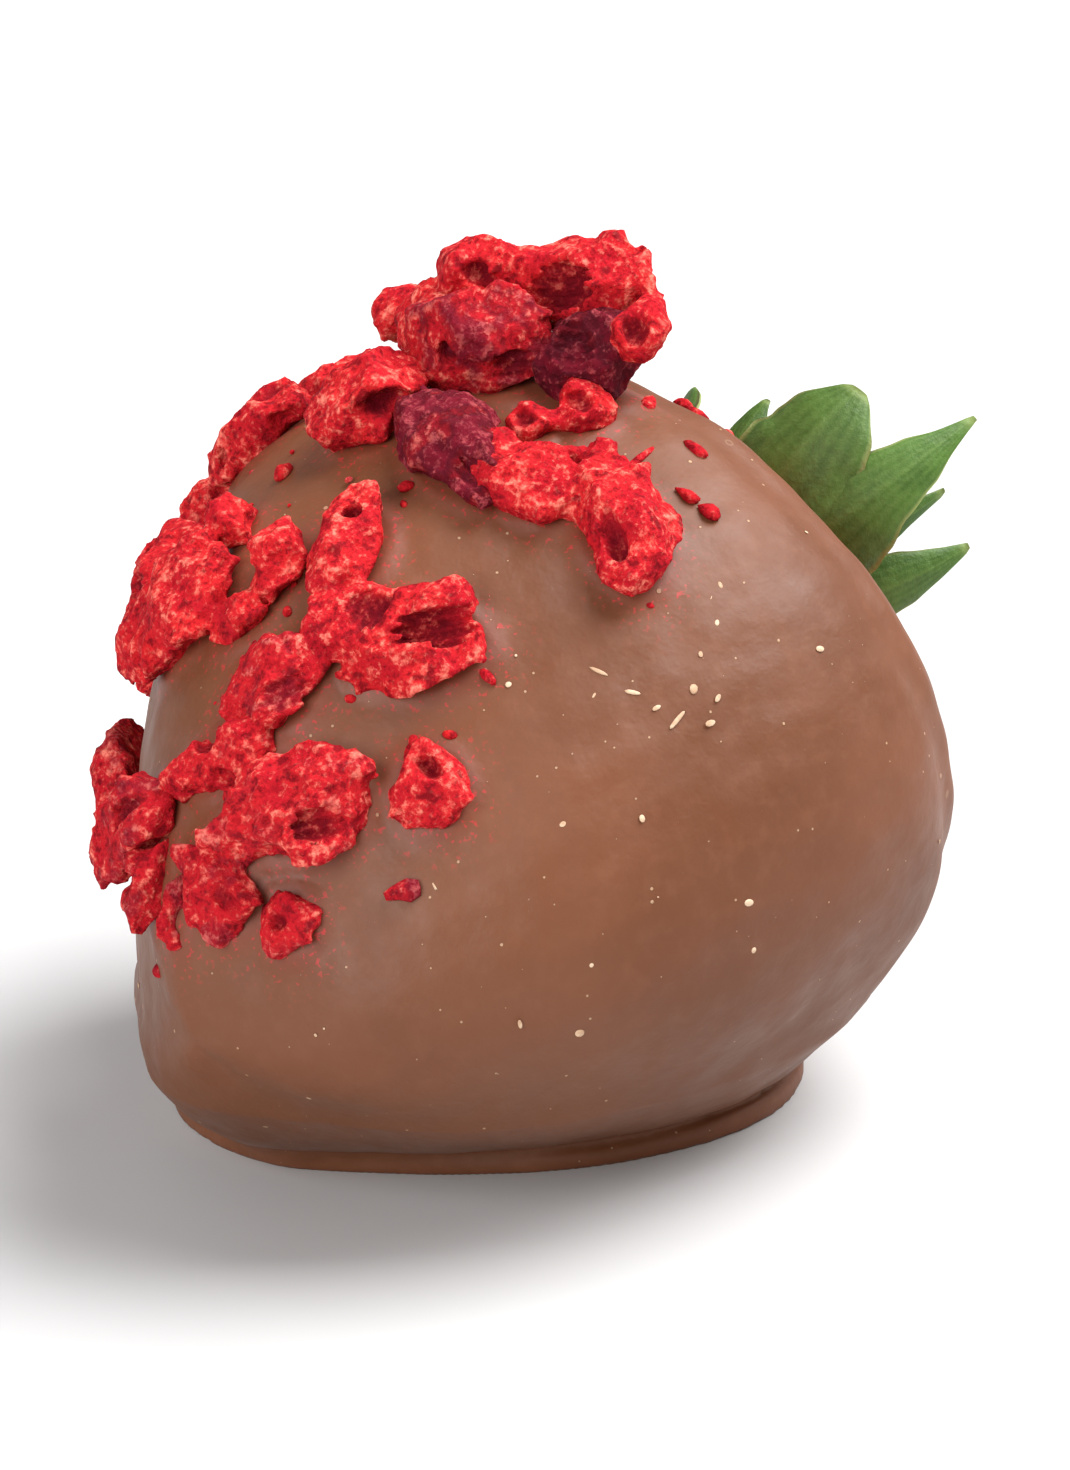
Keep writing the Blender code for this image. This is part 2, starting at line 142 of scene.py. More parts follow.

# Dried pieces: degrees from the tip, degrees round the axis, length, width, rise above the coat, degrees
# that the length is turned from the line to the calyx, and how dark the piece is, from 0 to 1; for the
# pieces nearest the tip this darkness is partly painted shade. Stacked pieces also have the height of
# their underside.
PIECES = [
    (85, 76, 7.6, 6.6, 4.2, 36, 0.1), (100, 84, 8.4, 5.6, 5.5, 102, 0.62),
    (101, 72, 6.2, 4.8, 5.0, 60, 0.05), (108, 98, 6.2, 5.6, 4.7, 96, 1.0),
    (100.5, 104, 3.8, 3.4, 2.3, 30, 0.05), (93, 100, 3.4, 2.8, 1.6, 159, 0.3),
    (81, 96, 9.6, 5.2, 3.0, 69, 0.9), (84, 108, 7.9, 5.7, 2.8, 96, 0.2),
    (87, 124, 9.4, 5.6, 2.8, 63, 0.25), (60, 92, 7.0, 5.2, 2.5, 24, 0.15),
    (52.5, 110, 10.4, 6.8, 2.6, 114, 0.1), (48, 62, 9.6, 7.6, 3.0, 111, 0.1),
    (54, 82, 5.8, 3.1, 3.0, 6, 0.2), (46.5, 78, 4.6, 3.7, 2.0, 141, 0.15),
    (60, 68, 3.5, 2.4, 3.2, 27, 0.2), (39, 92, 6.6, 6.0, 2.8, 138, 0.45),
    (30, 88, 7.4, 4.8, 2.0, 123, 0.35), (27, 110, 9.7, 6.3, 3.0, 126, 0.4),
    (16.5, 98, 6.1, 4.6, 2.0, 54, 0.5), (18, 128, 4.3, 3.8, 1.7, 60, 0.4),
    (22.5, 60, 7.6, 5.2, 2.8, 117, 0.5), (16.5, 66, 5.7, 3.2, 2.2, 156, 0.5),
    (13, 80, 3.7, 2.4, 1.3, 177, 0.5), (40.5, 132, 5.2, 4.6, 2.2, 60, 0.3),
]
STACKED_PIECES = [
    (106, 78, 4.8, 4.4, 7.2, 111, 0.05, 3.4), (104, 63, 3.8, 3.2, 4.8, 40, 0.3, 1.5),
    (112, 90, 8.6, 6.4, 7.8, 114, 0.1, 1.8), (110, 104, 4.8, 3.2, 6.4, 39, 0.3, 2.4),
]
SUNK = 0.7
PIECE_SIDES = 10
BROKEN_OFF = (0.78, 1.05)
PIECE_CELL = 0.18
SHRUNK = 0.2

# Pieces that are one broken lump together, by their number. The rest are lumps of their own. From
# FIRST_AT_TIP on, the pieces lie at the tip.
LUMPS = [(0, 1, 2, 24, 25), (26, 27), (4, 5), (7, 8), (9, 10), (11, 12, 13, 14)]
FIRST_AT_TIP = 9

# Hollows in the dried pieces: degrees from the tip and round the axis, height above the coat, degrees that
# the length is turned, length, width and depth. STRIPES is how far apart the ribs in them are.
HOLLOWS = [
    (91.5, 86, 3.4, 0, 1.3, 1.3, 1.6), (84, 86, 3.0, 0, 1.2, 1.2, 1.3),
    (79.5, 86, 3.2, 84, 3.2, 1.7, 1.1), (100.5, 84, 6.5, 0, 1.5, 1.4, 1.4),
    (100.5, 88, 6.5, 0, 1.1, 1.0, 1.0), (105, 94, 6.0, 129, 4.2, 3.0, 1.2),
    (106.5, 106, 5.0, 42, 2.6, 1.6, 1.0), (102, 100, 3.8, 129, 2.4, 3.0, 1.2),
    (63, 92, 2.4, 0, 1.2, 1.2, 1.2), (52.5, 104, 2.4, 3, 3.0, 2.4, 0.8),
    (55.5, 116, 2.4, 135, 4.6, 2.3, 0.8), (88.5, 114, 2.6, 0, 1.2, 1.1, 0.9),
    (82, 126.5, 2.4, 57, 3.6, 1.3, 0.7), (76.5, 106, 2.6, 75, 3.8, 2.0, 0.7),
    (51, 78, 2.6, 174, 3.8, 3.2, 1.2), (37.5, 98, 2.4, 141, 4.0, 2.4, 0.8),
    (28.5, 122, 2.6, 135, 3.3, 2.0, 0.6), (33, 104, 2.6, 120, 1.0, 0.9, 0.8),
    (18, 128, 1.6, 0, 1.1, 1.1, 0.8), (42, 131, 2.0, 90, 2.0, 1.1, 0.8),
    (16.5, 106, 1.8, 69, 2.4, 1.4, 0.8), (94.5, 98, 3.6, 123, 3.3, 2.6, 0.9),
    (22.5, 66, 2.6, 117, 4.2, 1.1, 0.8),
]
STRIPES = 0.62

FAR_PIECES = 11
FAR_SEED = 4
FAR_POLAR = (44, 108)
FAR_AROUND = (-12, 50)
FAR_APART = 6.5
FAR_LENGTH = (4.0, 8.0)

# Small crumbs lie by themselves: degrees from the tip, degrees round the axis, length, width, and degrees
# that the length is turned
CRUMBS = [
    (72, 66, 1.5, 1.1, 20), (124, 105, 1.5, 0.8, 80), (121, 111, 1.8, 0.8, 72),
    (124, 116, 1.4, 0.6, 60), (112, 107, 1.4, 0.9, 30), (108, 120, 1.6, 0.8, 100),
    (99, 126, 1.5, 0.8, 102), (99, 130, 1.4, 0.9, 93), (100.5, 116, 2.7, 0.45, 6),
    (31, 144, 1.9, 1.2, 150),
]

# Cream-coloured flecks on the chocolate, in the same way
FLECKS = [
    (69, 138, 1.3, 0.3, 111), (70.5, 143, 1.0, 0.26, 129), (73.5, 150, 1.1, 0.25, 12),
    (78, 148, 0.5, 0.36, 48), (77, 153, 0.6, 0.3, 165), (72, 147, 0.6, 0.24, 171),
    (66, 140, 0.5, 0.26, 18), (80, 151, 0.5, 0.3, 21), (82, 145, 0.4, 0.3, 60),
    (52.5, 152, 0.45, 0.4, 0), (97.5, 154, 0.45, 0.3, 150), (70.5, 176, 0.5, 0.35, 150),
    (45, 184, 0.5, 0.4, 159), (34.5, 144, 2.4, 0.16, 81), (88.5, 140, 0.9, 0.22, 27),
    (87, 143, 0.4, 0.28, 40), (62, 158, 0.4, 0.25, 70), (104, 148, 0.6, 0.2, 20),
]

# The pits and seeds of the fruit, and where its skin turns lumpy and pale, each over how far
PIT_DEPTH, PIT_WIDTH = 0.42, 0.85
SEED_SPACING, SEED_SPREAD = 0.115, 2.6
SEEDS_FROM, SEEDS_TO = radians(122), radians(163)
SEED_SIZE, SEED_SUNK = (0.42, 0.66, 0.3), 0.32
LUMPY_FROM, LUMPY_OVER = radians(116), radians(7)
PALE_FROM, PALE_OVER = radians(158), radians(14)

# The lights: place in metres, size and power
WORLD_LIGHT = 0.34
SOFTBOXES = [
    ("key_light", (0.36, -0.21, 0.66), 0.65, 13.0),
    ("fill_light", (-0.66, -0.12, 0.32), 0.5, 4.6),
]
FLOOR_SIDE = 2.0

# The camera looks as the photograph does, closer in on the one berry
VIEW_AZIMUTH = radians(-44)
VIEW_ELEVATION = radians(22.1)
VIEW_ROLL = radians(1.5)
VIEW_DISTANCE = 600.0
VIEW_FOCAL = 10913.0
VIEW_TARGET = AXIS_CENTRE - np.array([0, 0, 0.3])
VIEW_TARGET_AT = (548, 740.6)
IMAGE_SIZE = (1070, 1470)
SENSOR = 36.0


def unit(vector):
    return vector / np.linalg.norm(vector)


def soft_min(a, b, width):
    """The smaller of two, with a fillet of that width where they meet."""
    share = np.clip(0.5 + 0.5 * (b - a) / width, 0, 1)
    return b + (a - b) * share - width * share * (1 - share)


def soft_max(a, b, width):
    return -soft_min(-a, -b, width)


def noise(points, size, seed, table_side=24):
    """Smooth noise from -1 to 1 with bumps of about that size."""
    table = np.random.default_rng(seed).uniform(-1, 1, (table_side,) * 3)
    place = points / size
    corner = np.floor(place).astype(int)
    share = place - corner
    share = share ** 3 * (share * (share * 6 - 15) + 10)
    total = 0
    for step in itertools.product((0, 1), repeat=3):
        index = (corner + step) % table_side
        weight = np.where(np.array(step) == 1, share, 1 - share).prod(axis=1)
        total = total + weight * table[index[:, 0], index[:, 1], index[:, 2]]
    return total


def waves(points, size, seed, count=9):
    """Slow waves from about -1 to 1, smoother than noise."""
    draw = np.random.default_rng(seed)
    total = 0
    for _ in range(count):
        direction = draw.normal(size=3)
        direction *= tau / (size * draw.uniform(0.7, 1.5)) / np.linalg.norm(direction)
        total = total + np.sin(points @ direction + draw.uniform(0, tau))
    return total / sqrt(count)


def from_axis(along, side, up):
    rise, run = sin(AXIS_RISE), cos(AXIS_RISE)
    return AXIS_CENTRE + np.stack([along * run - up * rise, side, along * rise + up * run], axis=-1)


def berry_radius(polar, around):
    """From the axis centre to the coat. polar is 0 at the tip, and around is a quarter turn at the top."""
    along, across = np.cos(polar), np.sin(polar)
    section = 1 / np.hypot(np.cos(around) / HALF_WIDTH, np.sin(around) / HALF_DEPTH)
    length = np.where(along > 0, TIP_LENGTH, CALYX_LENGTH)
    power = np.where(along > 0, TIP_POWER, CALYX_POWER)
    lengthwise = (along ** 2 + SOFT_MIDDLE ** 2) ** (power / 2) - SOFT_MIDDLE ** power
    radius = (lengthwise / length ** power + (across / section) ** power) ** (-1 / power)
    lobes = TWO_LOBES * np.cos(2 * (around - TWO_LOBES_AT))
    lobes = lobes + THREE_LOBES * np.cos(3 * (around - THREE_LOBES_AT))
    tipwards = (along + np.hypot(along, SOFT_MIDDLE)) / 2
    return radius + tipwards * across * lobes


def berry_point(polar, around, lift=0.0):
    """A point on the coat's surface, or that far above it."""
    radius = berry_radius(polar, around) + lift
    along, across = np.cos(polar), radius * np.sin(polar)
    bend = TIP_BEND * np.maximum(along, 0) ** 2
    return from_axis(-radius * along, across * np.cos(around) + bend, across * np.sin(around))


def berry_normal(polar, around, step=0.01):
    by_polar = berry_point(polar + step, around) - berry_point(polar - step, around)
    by_around = berry_point(polar, around + step) - berry_point(polar, around - step)
    normal = unit(np.cross(by_polar, by_around))
    return normal if normal @ (berry_point(polar, around) - AXIS_CENTRE) > 0 else -normal


def to_calyx(polar, around, step=0.02):
    """The direction on the coat's surface that leads to the calyx."""
    return unit(berry_point(polar + step, around) - berry_point(polar - step, around))


def to_axis(points):
    """Distance from the axis centre, angle from the tip, angle round the axis, and place along it."""
    rise, run = sin(AXIS_RISE), cos(AXIS_RISE)
    local = points - AXIS_CENTRE
    along = local[:, 0] * run + local[:, 2] * rise
    up = local[:, 2] * run - local[:, 0] * rise
    radius = np.linalg.norm(local, axis=1) + 1e-6
    for _ in range(3):
        side = local[:, 1] - TIP_BEND * np.clip(-along / radius, 0, 1) ** 2
        radius = np.sqrt(along ** 2 + side ** 2 + up ** 2) + 1e-6
    return radius, np.arctan2(np.hypot(side, up), -along), np.arctan2(up, side), along


def fruit_lift(polar):
    """How far the fruit's surface is above the coat's: below it, until past the dip line."""
    swell = SHOULDER_RISE * np.clip((polar - SHOULDER_FROM) / (SHOULDER_TO - SHOULDER_FROM), 0, 1) ** 2
    return swell - COAT - DIMPLE_DEPTH * np.exp(-(((pi - polar) / DIMPLE_ANGLE) ** 2))


def skin(field, low, high, cell, block=4):
    """Quads round the surface where the field is zero, found on a grid of that cell size."""
    blocks = np.ceil((np.array(high) - low) / cell / block).astype(int)
    middles = np.indices(blocks).reshape(3, -1).T * block + (block - 1) / 2
    coarse = field(low + middles * cell).reshape(blocks)
    near = np.abs(coarse) < cell * block * 1.3
    values = np.where(coarse > 0, 1.0, -1.0)
    for axis in range(3):
        values, near = np.repeat(values, block, axis), np.repeat(near, block, axis)
    index = np.argwhere(near)
    values[tuple(index.T)] = field(low + index * cell)
    flat = values.ravel()
    strides = np.array([values.shape[1] * values.shape[2], values.shape[2], 1])
    cells, places, quads = [], [], []
    for axis, (u, v) in enumerate(((1, 2), (2, 0), (0, 1))):
        ahead = np.moveaxis(values, axis, 0)
        index = np.argwhere((ahead[:-1] < 0) != (ahead[1:] < 0))
        order = [a for a in range(3) if a != axis]
        order.insert(0, axis)
        start = index @ strides[order]
        here, there = flat[start], flat[start + strides[axis]]
        place = np.empty(index.shape)
        place[:, order] = index
        place[:, axis] += here / (here - there)
        ring = [start, start - strides[u], start - strides[u] - strides[v], start - strides[v]]
        cells += ring
        places += [place] * 4
        ring = np.stack(ring, axis=1)
        quads.append(np.where((here < 0)[:, None], ring, ring[:, ::-1]))
    names, which = np.unique(np.concatenate(cells), return_inverse=True)
    places = np.concatenate(places)
    sums = np.stack([np.bincount(which, places[:, axis]) for axis in range(3)], axis=1)
    points = low + cell * sums / np.bincount(which)[:, None]
    return settle(points, np.searchsorted(names, np.concatenate(quads)), field, cell)


def onto_surface(points, field, most, step=0.02):
    """Moves points towards the surface, at most that far."""
    here = field(points)
    slope = np.stack([(field(points + step * way) - here) / step for way in np.eye(3)], axis=1)
    move = -slope * (here / np.maximum((slope ** 2).sum(axis=1), 0.05))[:, None]
    length = np.linalg.norm(move, axis=1)[:, None] + 1e-9
    return points + move * np.minimum(1, most / length)


def neighbour_mean(points, faces):
    """The mean of each point's neighbours."""
    starts = faces.ravel()
    ends = np.roll(faces, -1, axis=1).ravel()
    both, others = np.concatenate([starts, ends]), np.concatenate([ends, starts])
    sums = np.stack([np.bincount(both, points[others, axis], len(points)) for axis in range(3)], axis=1)
    return sums / np.maximum(np.bincount(both, minlength=len(points)), 1)[:, None]


def settle(points, faces, field, cell, rounds=3):
    """Evens out the quads and draws them tight on the surface."""
    for _ in range(rounds):
        points = points + 0.5 * (neighbour_mean(points, faces) - points)
        points = onto_surface(points, field, cell / 2)
    return points, faces


def new_object(name, data):
    made = bpy.data.objects.new(name, data)
    bpy.context.scene.collection.objects.link(made)
    return made


def new_piece(name, points, faces, tint, material, slot, node):
    """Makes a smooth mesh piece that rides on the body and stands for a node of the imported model.

    Each row of faces has four corners, or three and then -1. tint has three shares for each point.
    """
    mesh = bpy.data.meshes.new(name)
    corners, sides = faces[faces >= 0], (faces >= 0).sum(axis=1)
    mesh.vertices.add(len(points))
    mesh.vertices.foreach_set("co", (np.asarray(points) * MM).ravel())
    mesh.loops.add(len(corners))
    mesh.loops.foreach_set("vertex_index", corners.astype(np.int32))
    mesh.polygons.add(len(sides))
    starts = np.concatenate([[0], np.cumsum(sides)[:-1]])
    mesh.polygons.foreach_set("loop_start", starts.astype(np.int32))
    mesh.update(calc_edges=True)
    mesh.validate()
    mesh.shade_smooth()
    layer = mesh.color_attributes.new("tint", "FLOAT_COLOR", "POINT")
    layer.data.foreach_set("color", np.column_stack([tint, np.ones(len(tint))]).ravel())
    mesh.materials.append(material)
    piece = new_object(name, mesh)
    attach(piece, "root")
    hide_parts(node)
    return piece


def joined(parts):
    """Joins (points, faces, tint) parts into one."""
    start, points, faces, tints = 0, [], [], []
    for part_points, part_faces, part_tint in parts:
        points.append(part_points)
        faces.append(np.where(part_faces >= 0, part_faces + start, -1))
        tints.append(part_tint)
        start += len(part_points)
    return np.concatenate(points), np.concatenate(faces), np.concatenate(tints)


class Looks:
    """A material made of nodes. Each method adds a node and gives back its output."""

    def __init__(self, name, **values):
        self.material = bpy.data.materials.new(name)
        self.material.use_nodes = True
        self.tree = self.material.node_tree
        self.shader = self.tree.nodes["Principled BSDF"]
        for key, value in values.items():
            self.shader.inputs[key.replace("_", " ").title().replace("Ior", "IOR")].default_value = value
        self.place = self.add("TexCoord").outputs["Object"]

    def add(self, kind, inputs=None, **settings):
        node = self.tree.nodes.new("ShaderNode" + kind)
        for key, value in settings.items():
            setattr(node, key, value)
        for key, value in (inputs or {}).items():
            if isinstance(value, bpy.types.NodeSocket):
                self.tree.links.new(value, node.inputs[key])
            else:
                node.inputs[key].default_value = value
        return node

    def noise(self, per_mm, detail=3.0, roughness=0.55):
        inputs = {"Vector": self.place, "Scale": per_mm / MM, "Detail": detail, "Roughness": roughness}
        return self.add("TexNoise", inputs).outputs["Fac"]

    def tint(self):
        colour = self.add("VertexColor", layer_name="tint").outputs["Color"]
        return self.add("SeparateColor", {"Color": colour}).outputs

    def math(self, operation, a, b, c=0.0, clamp=False):
        inputs = {0: a, 1: b, 2: c}
        return self.add("Math", inputs, operation=operation, use_clamp=clamp).outputs[0]

    def times(self, a, b):
        return self.math("MULTIPLY", a, b)

    def between(self, value, low=0.35, high=0.65, new_low=0.0, new_high=1.0):
        """Maps low..high to new_low..new_high, smoothly and no further."""
        inputs = {"Value": value, "From Min": low, "From Max": high, "To Min": new_low, "To Max": new_high}
        return self.add("MapRange", inputs, interpolation_type="SMOOTHSTEP").outputs["Result"]

    def mix(self, share, a, b):
        return self.add("Mix", {0: share, 6: a, 7: b}, data_type="RGBA").outputs[2]

    def bump(self, height, depth_mm, under=None):
        """Relief as deep as that where the height goes from 0 to 1."""
        inputs = {"Height": height, "Distance": depth_mm * MM, "Strength": 1.0}
        if under is not None:
            inputs["Normal"] = under
        return self.add("Bump", inputs).outputs["Normal"]

    def finish(self, colour=None, roughness=None, normal=None):
        for key, value in (("Base Color", colour), ("Roughness", roughness), ("Normal", normal)):
            if value is not None:
                self.tree.links.new(value, self.shader.inputs[key])
        return self.material


def chocolate_material():
    looks = Looks("milk_chocolate_satin", subsurface_weight=0.1, subsurface_radius=(1.0, 0.45, 0.25),
                  subsurface_scale=0.001, specular_ior_level=0.36)
    # near brings red dust round the pieces, close a painted red reflection of them, low a painted shade
    near, close, low = looks.tint()[:3]
    cloud = looks.noise(0.09, 2)
    fine = looks.noise(0.9, 4)
    cloudy = looks.between(cloud)
    colour = looks.mix(cloudy, (0.142, 0.045, 0.0160, 1), (0.174, 0.058, 0.0235, 1))
    colour = looks.mix(looks.between(fine, 0.45, 0.75, 0, 0.3), colour, (0.215, 0.081, 0.039, 1))
    # Painted shade: the chocolate darker towards the bottom of the coat
    colour = looks.mix(looks.times(low, 0.65), colour, (0.112, 0.033, 0.008, 1))
    marks = looks.math("MAXIMUM", flecks(looks, 0.55, 0.09, 0.3), flecks(looks, 1.1, 0.09, 0.5))
    ring = looks.math("SUBTRACT", flecks(looks, 0.26, 0.10, 0.25), flecks(looks, 0.26, 0.078, 0.25))
    marks = looks.math("MAXIMUM", marks, looks.times(ring, 0.4))
    colour = looks.mix(looks.times(marks, 0.6), colour, (0.62, 0.40, 0.24, 1))
    dust = looks.times(looks.between(looks.noise(3.2, 2, 0.6), 0.60, 0.66), near)
    colour = looks.mix(dust, colour, (0.50, 0.03, 0.03, 1))
    # Painted red reflection: the chocolate reddened right round the dried pieces
    colour = looks.mix(looks.times(close, 0.4), colour, (0.22, 0.035, 0.022, 1))
    roughness = looks.between(looks.noise(0.35, 3), 0.3, 0.7, 0.46, 0.58)
    normal = looks.bump(looks.noise(0.55, 3), 0.10)
    normal = looks.bump(looks.noise(5.0, 2), 0.006, normal)
    normal = looks.bump(marks, 0.05, normal)
    return looks.finish(colour, roughness, normal)


def flecks(looks, per_mm, size, share):
    """Round spots, with that share of all places taken: 1 on a spot and 0 beside it."""
    spots = looks.add("TexVoronoi", {"Vector": looks.place, "Scale": per_mm / MM}).outputs
    chance = looks.add("SeparateColor", {"Color": spots["Color"]}).outputs[0]
    own_size = looks.math("MULTIPLY_ADD", chance, size / share, 0.3 * size)
    spot = looks.between(looks.math("SUBTRACT", own_size, spots["Distance"]), 0.0, 0.3 * size)
    return looks.times(spot, looks.math("LESS_THAN", chance, share))


def dried_material():
    looks = Looks("freeze_dried_strawberry", subsurface_weight=0.1, subsurface_radius=(1.0, 0.15, 0.15),
                  subsurface_scale=0.0005, specular_ior_level=0.08)
    # dark is the pieces' own tone, partly painted shade at the tip; high steers a painted highlight
    dark, hollow, high = looks.tint()[:3]
    grain = looks.noise(2.9, 2, 0.6)
    relief = looks.noise(1.2, 4, 0.65)
    patch = looks.noise(0.5, 3)
    patchy = looks.between(patch)
    # light is mostly a painted highlight on ridges and protruding parts, with random patches of tone
    light = looks.math("MULTIPLY_ADD", looks.between(grain, 0.47, 0.70), 0.6, looks.times(high, 0.4))
    light = looks.math("MULTIPLY_ADD", looks.between(relief, 0.48, 0.68), 0.75, light)
    light = looks.math("MULTIPLY_ADD", patchy, 0.25, light)
    # valley and pit are painted shade in the hollows of the bumps
    valley = looks.between(relief, 0.49, 0.33)
    pit = looks.math("MULTIPLY_ADD", looks.between(grain, 0.49, 0.33), 0.5, valley, clamp=True)
    red = looks.mix(patchy, (0.44, 0.008, 0.016, 1), (0.60, 0.016, 0.020, 1))
    red = looks.mix(looks.between(light, 0.4, 1.8, 0, 0.95), red, (0.93, 0.24, 0.17, 1))
    red = looks.mix(looks.times(pit, 0.8), red, (0.14, 0.003, 0.007, 1))
    shade = looks.times(looks.between(hollow, 0.1, 0.9), looks.between(light, 0.0, 1.2, 0.9, 0.5))
    red = looks.mix(shade, red, (0.11, 0.002, 0.007, 1))
    maroon = looks.between(patch, 0.4, 0.6)
    maroon = looks.mix(maroon, (0.055, 0.004, 0.009, 1), (0.15, 0.006, 0.016, 1))
    # The dark pieces' ridges get a painted highlight too
    maroon = looks.mix(looks.between(light, 0.4, 1.3, 0, 0.5), maroon, (0.52, 0.09, 0.10, 1))
    dim = looks.math("ADD", dark, looks.between(patch, new_low=-0.2, new_high=0.25))
    colour = looks.mix(looks.between(dim, 0.4, 0.95), red, maroon)
    roughness = looks.between(grain, new_low=0.9, new_high=0.7)
    normal = looks.bump(relief, 0.26)
    normal = looks.bump(grain, 0.14, normal)
    return looks.finish(colour, roughness, normal)


def cream_material():
    looks = Looks("cocoa_butter_fleck", specular_ior_level=0.3)
    patchy = looks.between(looks.noise(1.5, 2))
    colour = looks.mix(patchy, (0.50, 0.31, 0.19, 1), (0.68, 0.50, 0.34, 1))
    normal = looks.bump(looks.noise(4.0, 2), 0.03)
    return looks.finish(colour, looks.between(looks.noise(2.0, 2), 0.3, 0.7, 0.5, 0.7), normal)


def fruit_material():
    looks = Looks("fresh_strawberry_skin", subsurface_weight=0.3, subsurface_radius=(1.0, 0.2, 0.1),
                  subsurface_scale=0.0015, coat_weight=0.22, coat_roughness=0.14, specular_ior_level=0.4)
    pale, pit, _ = looks.tint()[:3]
    patch = looks.noise(0.25, 3)
    red = looks.mix(looks.between(patch), (0.42, 0.008, 0.008, 1), (0.56, 0.019, 0.011, 1))
    red = looks.mix(looks.times(pit, 0.5), red, (0.64, 0.06, 0.022, 1))
    colour = looks.mix(pale, red, (0.80, 0.42, 0.24, 1))
    roughness = looks.between(patch, 0.3, 0.7, 0.22, 0.36)
    normal = looks.bump(looks.noise(1.6, 3), 0.06)
    return looks.finish(colour, roughness, normal)


def seed_material():
    looks = Looks("strawberry_seed", specular_ior_level=0.5)
    patchy = looks.between(looks.noise(0.5, 2))
    colour = looks.mix(patchy, (0.62, 0.33, 0.08, 1), (0.45, 0.10, 0.03, 1))
    normal = looks.bump(looks.noise(3.0, 2), 0.03)
    return looks.finish(colour, looks.between(looks.noise(2.0, 2), 0.3, 0.7, 0.3, 0.5), normal)


def leaf_material():
    looks = Looks("sepal_leaf", subsurface_weight=0.12, subsurface_radius=(0.5, 1.0, 0.2),
                  subsurface_scale=0.0005, specular_ior_level=0.35)
    rim, base, vein = looks.tint()[:3]
    patch = looks.noise(0.4, 3)
    grain = looks.noise(3.2, 3, 0.7)
    patchy = looks.between(patch)
    green = looks.mix(patchy, (0.038, 0.100, 0.009, 1), (0.064, 0.150, 0.016, 1))
    green = looks.mix(looks.between(grain, 0.45, 0.7, 0, 0.22), green, (0.14, 0.24, 0.058, 1))
    green = looks.mix(looks.times(vein, 0.4), green, (0.155, 0.26, 0.06, 1))
    green = looks.mix(base, green, (0.21, 0.24, 0.008, 1))
    colour = looks.mix(rim, green, (0.33, 0.38, 0.13, 1))
    roughness = looks.between(patch, 0.3, 0.7, 0.45, 0.6)
    normal = looks.bump(grain, 0.05)
    normal = looks.bump(looks.noise(1.3, 3), 0.06, normal)
    return looks.finish(colour, roughness, normal)


def piece_faces(seed):
    """The flat faces that one dried piece broke along: their directions and distances from its middle."""
    draw = random.Random(seed)
    faces = []
    for i in range(PIECE_SIDES):
        height = 1 - 2 * (i + 0.5) / PIECE_SIDES
        turn = i * pi * (3 - sqrt(5)) + draw.uniform(-0.5, 0.5)
        ring = sqrt(1 - height * height)
        direction = np.array([ring * cos(turn), ring * sin(turn), height])
        faces.append((direction, draw.uniform(*BROKEN_OFF)))
    return faces


def far_pieces():
    """The pieces on the far side, each at least FAR_APART from the others."""
    draw = random.Random(FAR_SEED)
    found, places = [], []
    while len(found) < FAR_PIECES:
        polar, around = draw.uniform(*FAR_POLAR), draw.uniform(*FAR_AROUND)
        place = berry_point(radians(polar), radians(around))
        if any(np.linalg.norm(place - other) < FAR_APART for other in places):
            continue
        places.append(place)
        length = draw.uniform(*FAR_LENGTH)
        width, rise = length * draw.uniform(0.6, 0.85), length * draw.uniform(0.3, 0.48)
        dark = 0.15 + 0.1 * (len(found) % 4)
        found.append((polar, around, length, width, rise, draw.uniform(0, 180), dark))
    return found


class Piece:
    """Where one dried piece lies, and its broken faces."""

    def __init__(self, seed, polar, around, length, width, rise, turned, dark, underside=-SUNK):
        self.axes = axes_on_coat(polar, around, turned)
        self.half = np.array([length, width, rise - underside]) / 2
        self.middle = above_coat(polar, around, (rise + underside) / 2)
        self.stacked = underside > 0
        self.dark = dark
        self.seed = seed
        self.faces = piece_faces(seed)

    def field(self, points):
        """Signed distance to the piece's broken faces, with their edges a little rounded."""
        local = (points - self.middle) @ self.axes.T
        surface = (np.linalg.norm(local / self.half, axis=1) - 1.2) * self.half.min()
        for facing, far in self.faces:
            normal = facing / self.half
            surface = soft_max(surface, (local @ normal - far) / np.linalg.norm(normal), 0.25)
        return surface

    def outside(self, points):
        """How far points are from the edge of the piece on the coat, 0 under it."""
        local = (points - self.middle) @ self.axes.T
        ring = np.hypot(local[:, 0] / self.half[0], local[:, 1] / self.half[1])
        away = np.maximum(ring - 0.85, 0) * self.half[:2].mean()
        return np.hypot(away, np.maximum(np.abs(local[:, 2]) - self.half[2], 0))


